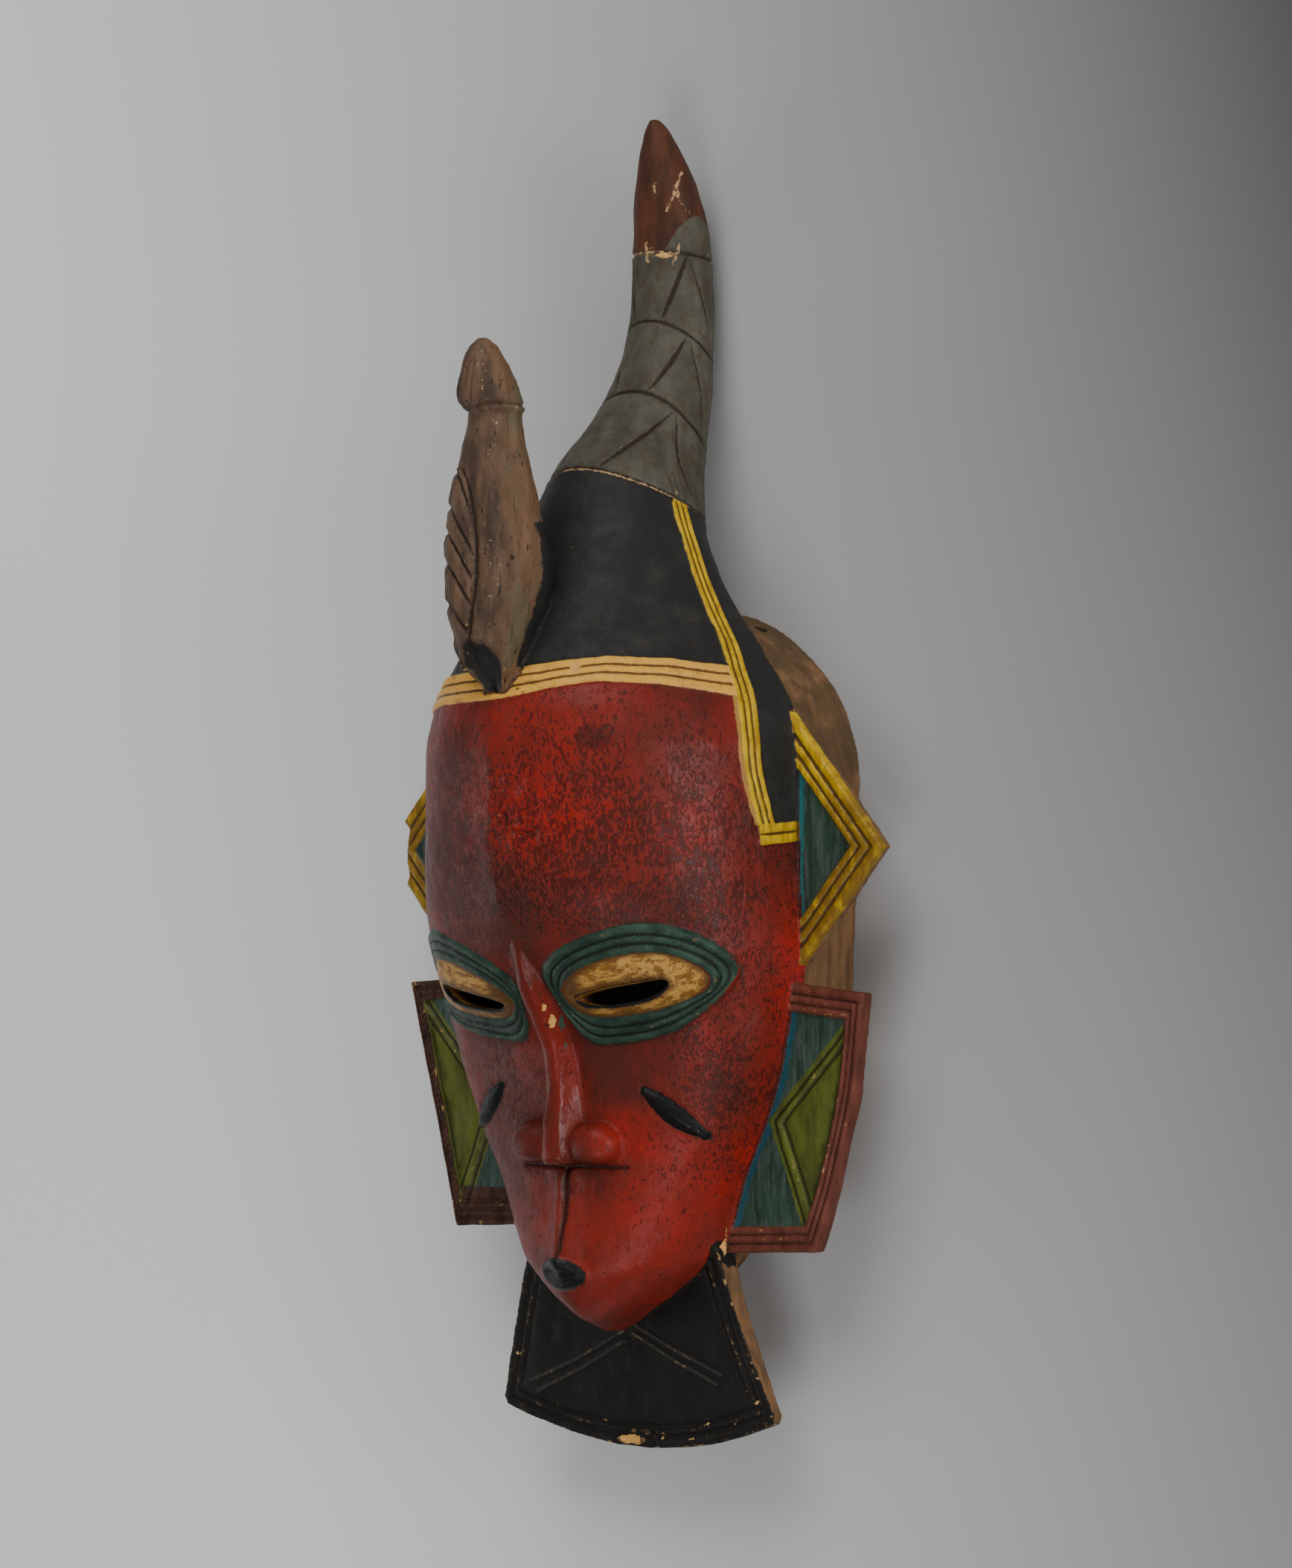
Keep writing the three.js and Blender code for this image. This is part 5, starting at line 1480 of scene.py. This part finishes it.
def bird_paint(f, t):
    """Brown of the bird, warmer to its right, with dark grain and dashes and gold specks, painted shade in
    its grooves, and black paint with painted shade in its scoop.
    """
    warm = f.streaked(t.bird_warm, t.bird_olive, 14, (1, 3, 1), 0.5, 0.68, 5.4)
    bird = f.streaked(t.bird_dark, t.bird_brown, 7, (1, 4, 1), 0.3, 0.68, 2.5)
    bird = f.wash(bird, f.inside("warm", 2.0, 3.0, 9.0, 2.4), 0.8, warm)
    bird = f.wash(bird, f.spots(0.52, 0.66, 2.4, 4, 0.7, (1, 9, 1), shift=3.3), 0.55, t.bird_dark)
    bird = f.wash(bird, f.spots(0.66, 0.7, 2.0, 2, 0.6, (1, 3.5, 1), shift=8.7), 0.9, t.groove)
    # Painted shade in the grooves of the bird.
    bird = f.shade_in_grooves(bird, 0.08, 0.5, 0.9, t.groove)
    bird = f.coat(bird, t.groove, "lines", 0.2, 0.3, 2.0, 6.5)
    crowd = f.math("ADD", f.lumps(1.3, 2, 0.6, shift=7.1), f.math("MULTIPLY", f.field("specks"), 0.08))
    bird = f.mix(f.fade(crowd, 0.74, 0.78), bird, t.gold_speck)
    # Black in the scoop under the tail: black paint and painted shade.
    return f.coat(bird, t.hair_black, "scoop", 1.0, 0.6, 5.0, 7.0)


def beard_paint(f, t, edge):
    black = f.streaked(t.beard_black, t.beard_worn, 12, (1, 2, 1), 0.5, 0.95, 1.1)
    rubbed = f.math("MULTIPLY", edge, f.spots(0.56, 0.62, 3.5, 3, 0.7, shift=6.9))
    return f.mix(rubbed, black, t.ochre)


def raw_paint(f, t):
    """Bare wood, darker and greener towards the top of the rear wall."""
    raw = f.streaked(t.raw_dark, t.raw_wood, 5, (1, 7, 1), 0.25, 0.75, 3.7)
    aged = f.math("MULTIPLY", f.spots(0.35, 0.6, 26, 3, 0.6, shift=4.8), f.fade(f.field("upper"), -4, 1))
    return f.wash(raw, aged, 0.75, t.raw_green)


def painted_wood():
    """Every paint over its own region, in the order that it was laid on, with painted shade in hollows,
    grooves, creases and holes.
    """
    f = Finish("painted_wood")
    t = f.tones
    # The first share is the depth of hollows and grooves, used to paint shade into them; the second marks the
    # edges, where paint wears.
    cavity_shade, edge = (f.fade(f.field("curve"), *limits) for limits in ((0.08, 0.5), (-0.12, -0.45)))
    colour, flecks = red_paint(f)
    # Painted shade: the red darkens in hollows and grooves by their depth.
    colour = f.wash(colour, cavity_shade, 0.75, t.red_pit_and_shade)
    colour = f.coat(colour, hair_paint(f, t), "hair", 0.4, 0.3)
    # Painted shade in the philtrum, and painted shadow under the nose's foot.
    colour = f.wash(colour, f.inside("crease_shade", 0.3, 0.6, 2.5, 3.6), 0.9, t.crease_shade)
    tip = f.streaked(t.tip_dark, t.tip_red, 8, (1, 2.5, 1), 0.3, 0.7, 9.4)
    for paint, *edges in (
            (t.cream_worn, "strip", 0.5, 0.3, 6.0, 1.7), (cream_paint(f, t), "cream", 0.4, 0.25, 6.0, 1.0),
            (ring_paint(f, t), "ring", 0.45, 0.25, 5.5, 2.0), (lid_paint(f, t), "lid", 0.3, 0.25),
            (panel_paint(f, t), "panel", 0.3, 0.25), (olive_paint(f, t), "olive", 0.5, 0.25, 3.0, 3.0),
            (frame_paint(f, t), "frame", 0.3, 0.25, 5.0), (yellow_paint(f, t), "yellow", 0.3, 0.25, 6.0, 4.0),
            (horn_paint(f, t), "horn", 0.4, 0.2, 3.0, 5.0), (tip, "tip", 0.7, 0.25, 4.0, 6.0)):
        colour = f.coat(colour, paint, *edges)
    colour = f.wash(colour, f.inside("lines", 0.25, 0.3, 2.0, 6.5), 0.9, t.groove)
    broken = f.spots(0.4, 0.5, 2.6, 3, 0.7, shift=2.9)
    for name in ("cracks", "tip_ring", "base_ring"):
        colour = f.mix(f.math("MULTIPLY", f.inside(name, 0.4, 0.25, 1.4, 7.5), broken), colour, t.crack)
    colour = f.coat(colour, bird_paint(f, t), "bird", 0.4, 0.4, 3.0, 8.0)
    colour = f.coat(colour, beard_paint(f, t, edge), "beard", 0.4, 0.3)
    colour = f.wash(colour, f.inside("beard_line", 0.2, 0.5, 3.0, 8.5), 0.8, t.line_worn)
    worn = f.spots(0.66, 0.69, 5, 3, 0.65, (1.6, 1.2, 1), shift=4.2)
    colour = f.mix(f.math("MULTIPLY", f.inside("rim_line", 0.3, 0.3, 1.5, 8.7), worn), colour, t.ochre)
    colour = f.coat(colour, t.mark_black, "mark", 0.35, 0.25, 2.5, 9.0)
    chip = f.math("MULTIPLY", edge, f.spots(0.6, 0.66, 5, 4, 0.7, shift=5.2))
    colour = f.wash(colour, chip, 0.8, t.ochre)
    colour = f.coat(colour, t.chipped, "chips", 0.6, 0.2, 1.6, 9.5)
    colour = f.coat(colour, t.teal, "dabs", 0.6, 0.2, 1.6, 9.7)
    bare = f.inside("raw", 0.4, 0.3, 4.0, 1.5)
    colour = f.mix(bare, colour, raw_paint(f, t))
    # Painted shade on the walls of the slits and cord holes.
    colour = f.mix(f.fade(f.field("shaded_walls"), -1, 1), colour, t.inner_wall_shade)

    rough = f.fade(f.lumps(5, 3, 0.6, shift=3.3), 0.2, 0.8, 0.33, 0.48)
    rough = f.math("SUBTRACT", rough, f.math("MULTIPLY", f.field("gloss"), 0.17))
    matt = f.inside("beard")
    for name in ("horn", "bird", "hair"):
        matt = f.math("MAXIMUM", matt, f.inside(name))
    for share, more in ((bare, 0.25), (matt, 0.17)):
        rough = f.math("ADD", rough, f.math("MULTIPLY", share, more))

    height = f.math("MULTIPLY", flecks, -0.12)
    for share, rise in ((f.lumps(1.7, 3, 0.6, (1, 1.8, 1), 4.9), 0.16),
                        (f.lumps(9, 2, 0.5, shift=8.3), 0.35)):
        height = f.math("ADD", height, f.math("MULTIPLY", share, rise))
    bump = f.node("ShaderNodeBump")
    bump.inputs["Strength"].default_value = 1
    bump.inputs["Distance"].default_value = MM
    f.feed(bump.inputs["Height"], height)
    f.feed(f.shader.inputs["Base Color"], colour)
    f.feed(f.shader.inputs["Roughness"], rough)
    f.feed(f.shader.inputs["Normal"], bump.outputs[0])
    f.shader.inputs["Specular IOR Level"].default_value = 0.18
    return f.material


class MASK_OT_paint(bpy.types.Operator):
    """Lays out the painted regions and gives the carving its finish"""

    bl_idname = "mask.paint"
    bl_label = "Paint"

    def execute(self, context):
        mesh = bpy.data.objects["carved_mask"].data
        for name, values in paint_fields(coordinates(mesh), normals(mesh)).items():
            store(mesh, name, np.clip(values, -6, 6))
        mesh.materials.clear()
        mesh.materials.append(painted_wood())
        return {"FINISHED"}


class MASK_OT_place(bpy.types.Operator):
    """Puts the carving in place of the plain model"""

    bl_idname = "mask.place"
    bl_label = "Place"

    def execute(self, context):
        piece = bpy.data.objects["carved_mask"]
        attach(piece, "root")
        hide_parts("mask")
        return {"FINISHED"}


class MASK_OT_set_stage(bpy.types.Operator):
    """Adds the pale floor with shade painted into its colour, the lights and the camera"""

    bl_idname = "mask.set_stage"
    bl_label = "Set the Stage"

    def execute(self, context):
        scene = context.scene
        scene.world = scene.world or bpy.data.worlds.new("studio")
        scene.world.use_nodes = True
        background = scene.world.node_tree.nodes["Background"]
        background.inputs["Color"].default_value = (1, 1, 1, 1)
        background.inputs["Strength"].default_value = SKY
        floor_mesh = bpy.data.meshes.new("floor")
        corners = [(FLOOR_REACH * a, FLOOR_REACH * b, 0) for a, b in ((-1, -1), (1, -1), (1, 1), (-1, 1))]
        floor_mesh.from_pydata(corners, [], [(0, 1, 2, 3)])
        floor = link("floor", floor_mesh)
        material = bpy.data.materials.new("pale floor")
        material.use_nodes = True
        shader = material.node_tree.nodes["Principled BSDF"]
        shader.inputs["Roughness"].default_value = 1
        shader.inputs["Specular IOR Level"].default_value = 0
        nodes, links = material.node_tree.nodes, material.node_tree.links
        # The floor's colour darkens along a way: painted shade standing in for the lamps' fall-off.
        place = nodes.new("ShaderNodeTexCoord").outputs["Object"]
        across = nodes.new("ShaderNodeVectorMath")
        across.operation = "DOT_PRODUCT"
        across.inputs[1].default_value = FLOOR_PAINTED_SHADE["way"]
        links.new(place, across.inputs[0])
        fade = nodes.new("ShaderNodeMapRange")
        for socket, value in zip(fade.inputs[1:], (*FLOOR_PAINTED_SHADE["reach"], *FLOOR_PAINTED_SHADE["tones"])):
            socket.default_value = value
        links.new(across.outputs["Value"], fade.inputs[0])
        links.new(fade.outputs[0], shader.inputs["Base Color"])
        floor.data.materials.append(material)
        look = Vector((sin(radians(CAMERA_TURN)), 0, cos(radians(CAMERA_TURN))))
        aim = Vector(AIM) * MM
        camera_data = bpy.data.cameras.new("camera")
        camera_data.sensor_fit = "VERTICAL"
        camera_data.sensor_height = 24
        camera_data.lens = 24 / (2 * np.tan(radians(VIEW_ANGLE / 2)))
        camera_data.clip_start, camera_data.clip_end = 0.1, 20
        camera = link("camera", camera_data)
        camera.location = aim + look * DISTANCE * MM
        right = Vector((0, 1, 0)).cross(look).normalized()
        camera.rotation_mode = "QUATERNION"
        camera.rotation_quaternion = Matrix((right, (0, 1, 0), look)).transposed().to_quaternion()
        scene.camera = camera
        for name, place, size, power in LIGHTS:
            data = bpy.data.lights.new(name, "AREA")
            data.size, data.energy = size, power
            lamp = link(name, data)
            lamp.location = Vector(place)
            lamp.rotation_mode = "QUATERNION"
            lamp.rotation_quaternion = (Vector((0, 0, 0.05)) - lamp.location).to_track_quat("-Z", "Y")
        return {"FINISHED"}


class MASK_PT_panel(bpy.types.Panel):
    """Lists the steps in the order that they are carried out"""

    bl_label = "Face Mask"
    bl_idname = "MASK_PT_panel"
    bl_space_type = "VIEW_3D"
    bl_region_type = "UI"
    bl_category = "Mask"

    def draw(self, context):
        settings = context.scene.mask_settings
        for name in ("voxel", "unevenness", "faces"):
            self.layout.prop(settings, name)
        for step in STEPS:
            self.layout.operator(step.bl_idname)
        for key in MaskPaints.__annotations__:
            self.layout.prop(context.scene.mask_paints, key)


STEPS = (MASK_OT_carve_block, MASK_OT_carve_relief, MASK_OT_hollow_out, MASK_OT_paint, MASK_OT_place,
         MASK_OT_set_stage)
CLASSES = (MaskSettings, MaskPaints, *STEPS, MASK_PT_panel)


def register():
    for made in CLASSES:
        bpy.utils.register_class(made)
    bpy.types.Scene.mask_settings = PointerProperty(type=MaskSettings)
    bpy.types.Scene.mask_paints = PointerProperty(type=MaskPaints)


def unregister():
    del bpy.types.Scene.mask_settings, bpy.types.Scene.mask_paints
    for made in reversed(CLASSES):
        bpy.utils.unregister_class(made)


def main():
    register()
    bpy.ops.mask.carve_block()
    bpy.ops.mask.carve_relief()
    bpy.ops.mask.hollow_out()
    bpy.ops.mask.paint()
    bpy.ops.mask.place()
    bpy.ops.mask.set_stage()


if __name__ == "__main__":
    main()
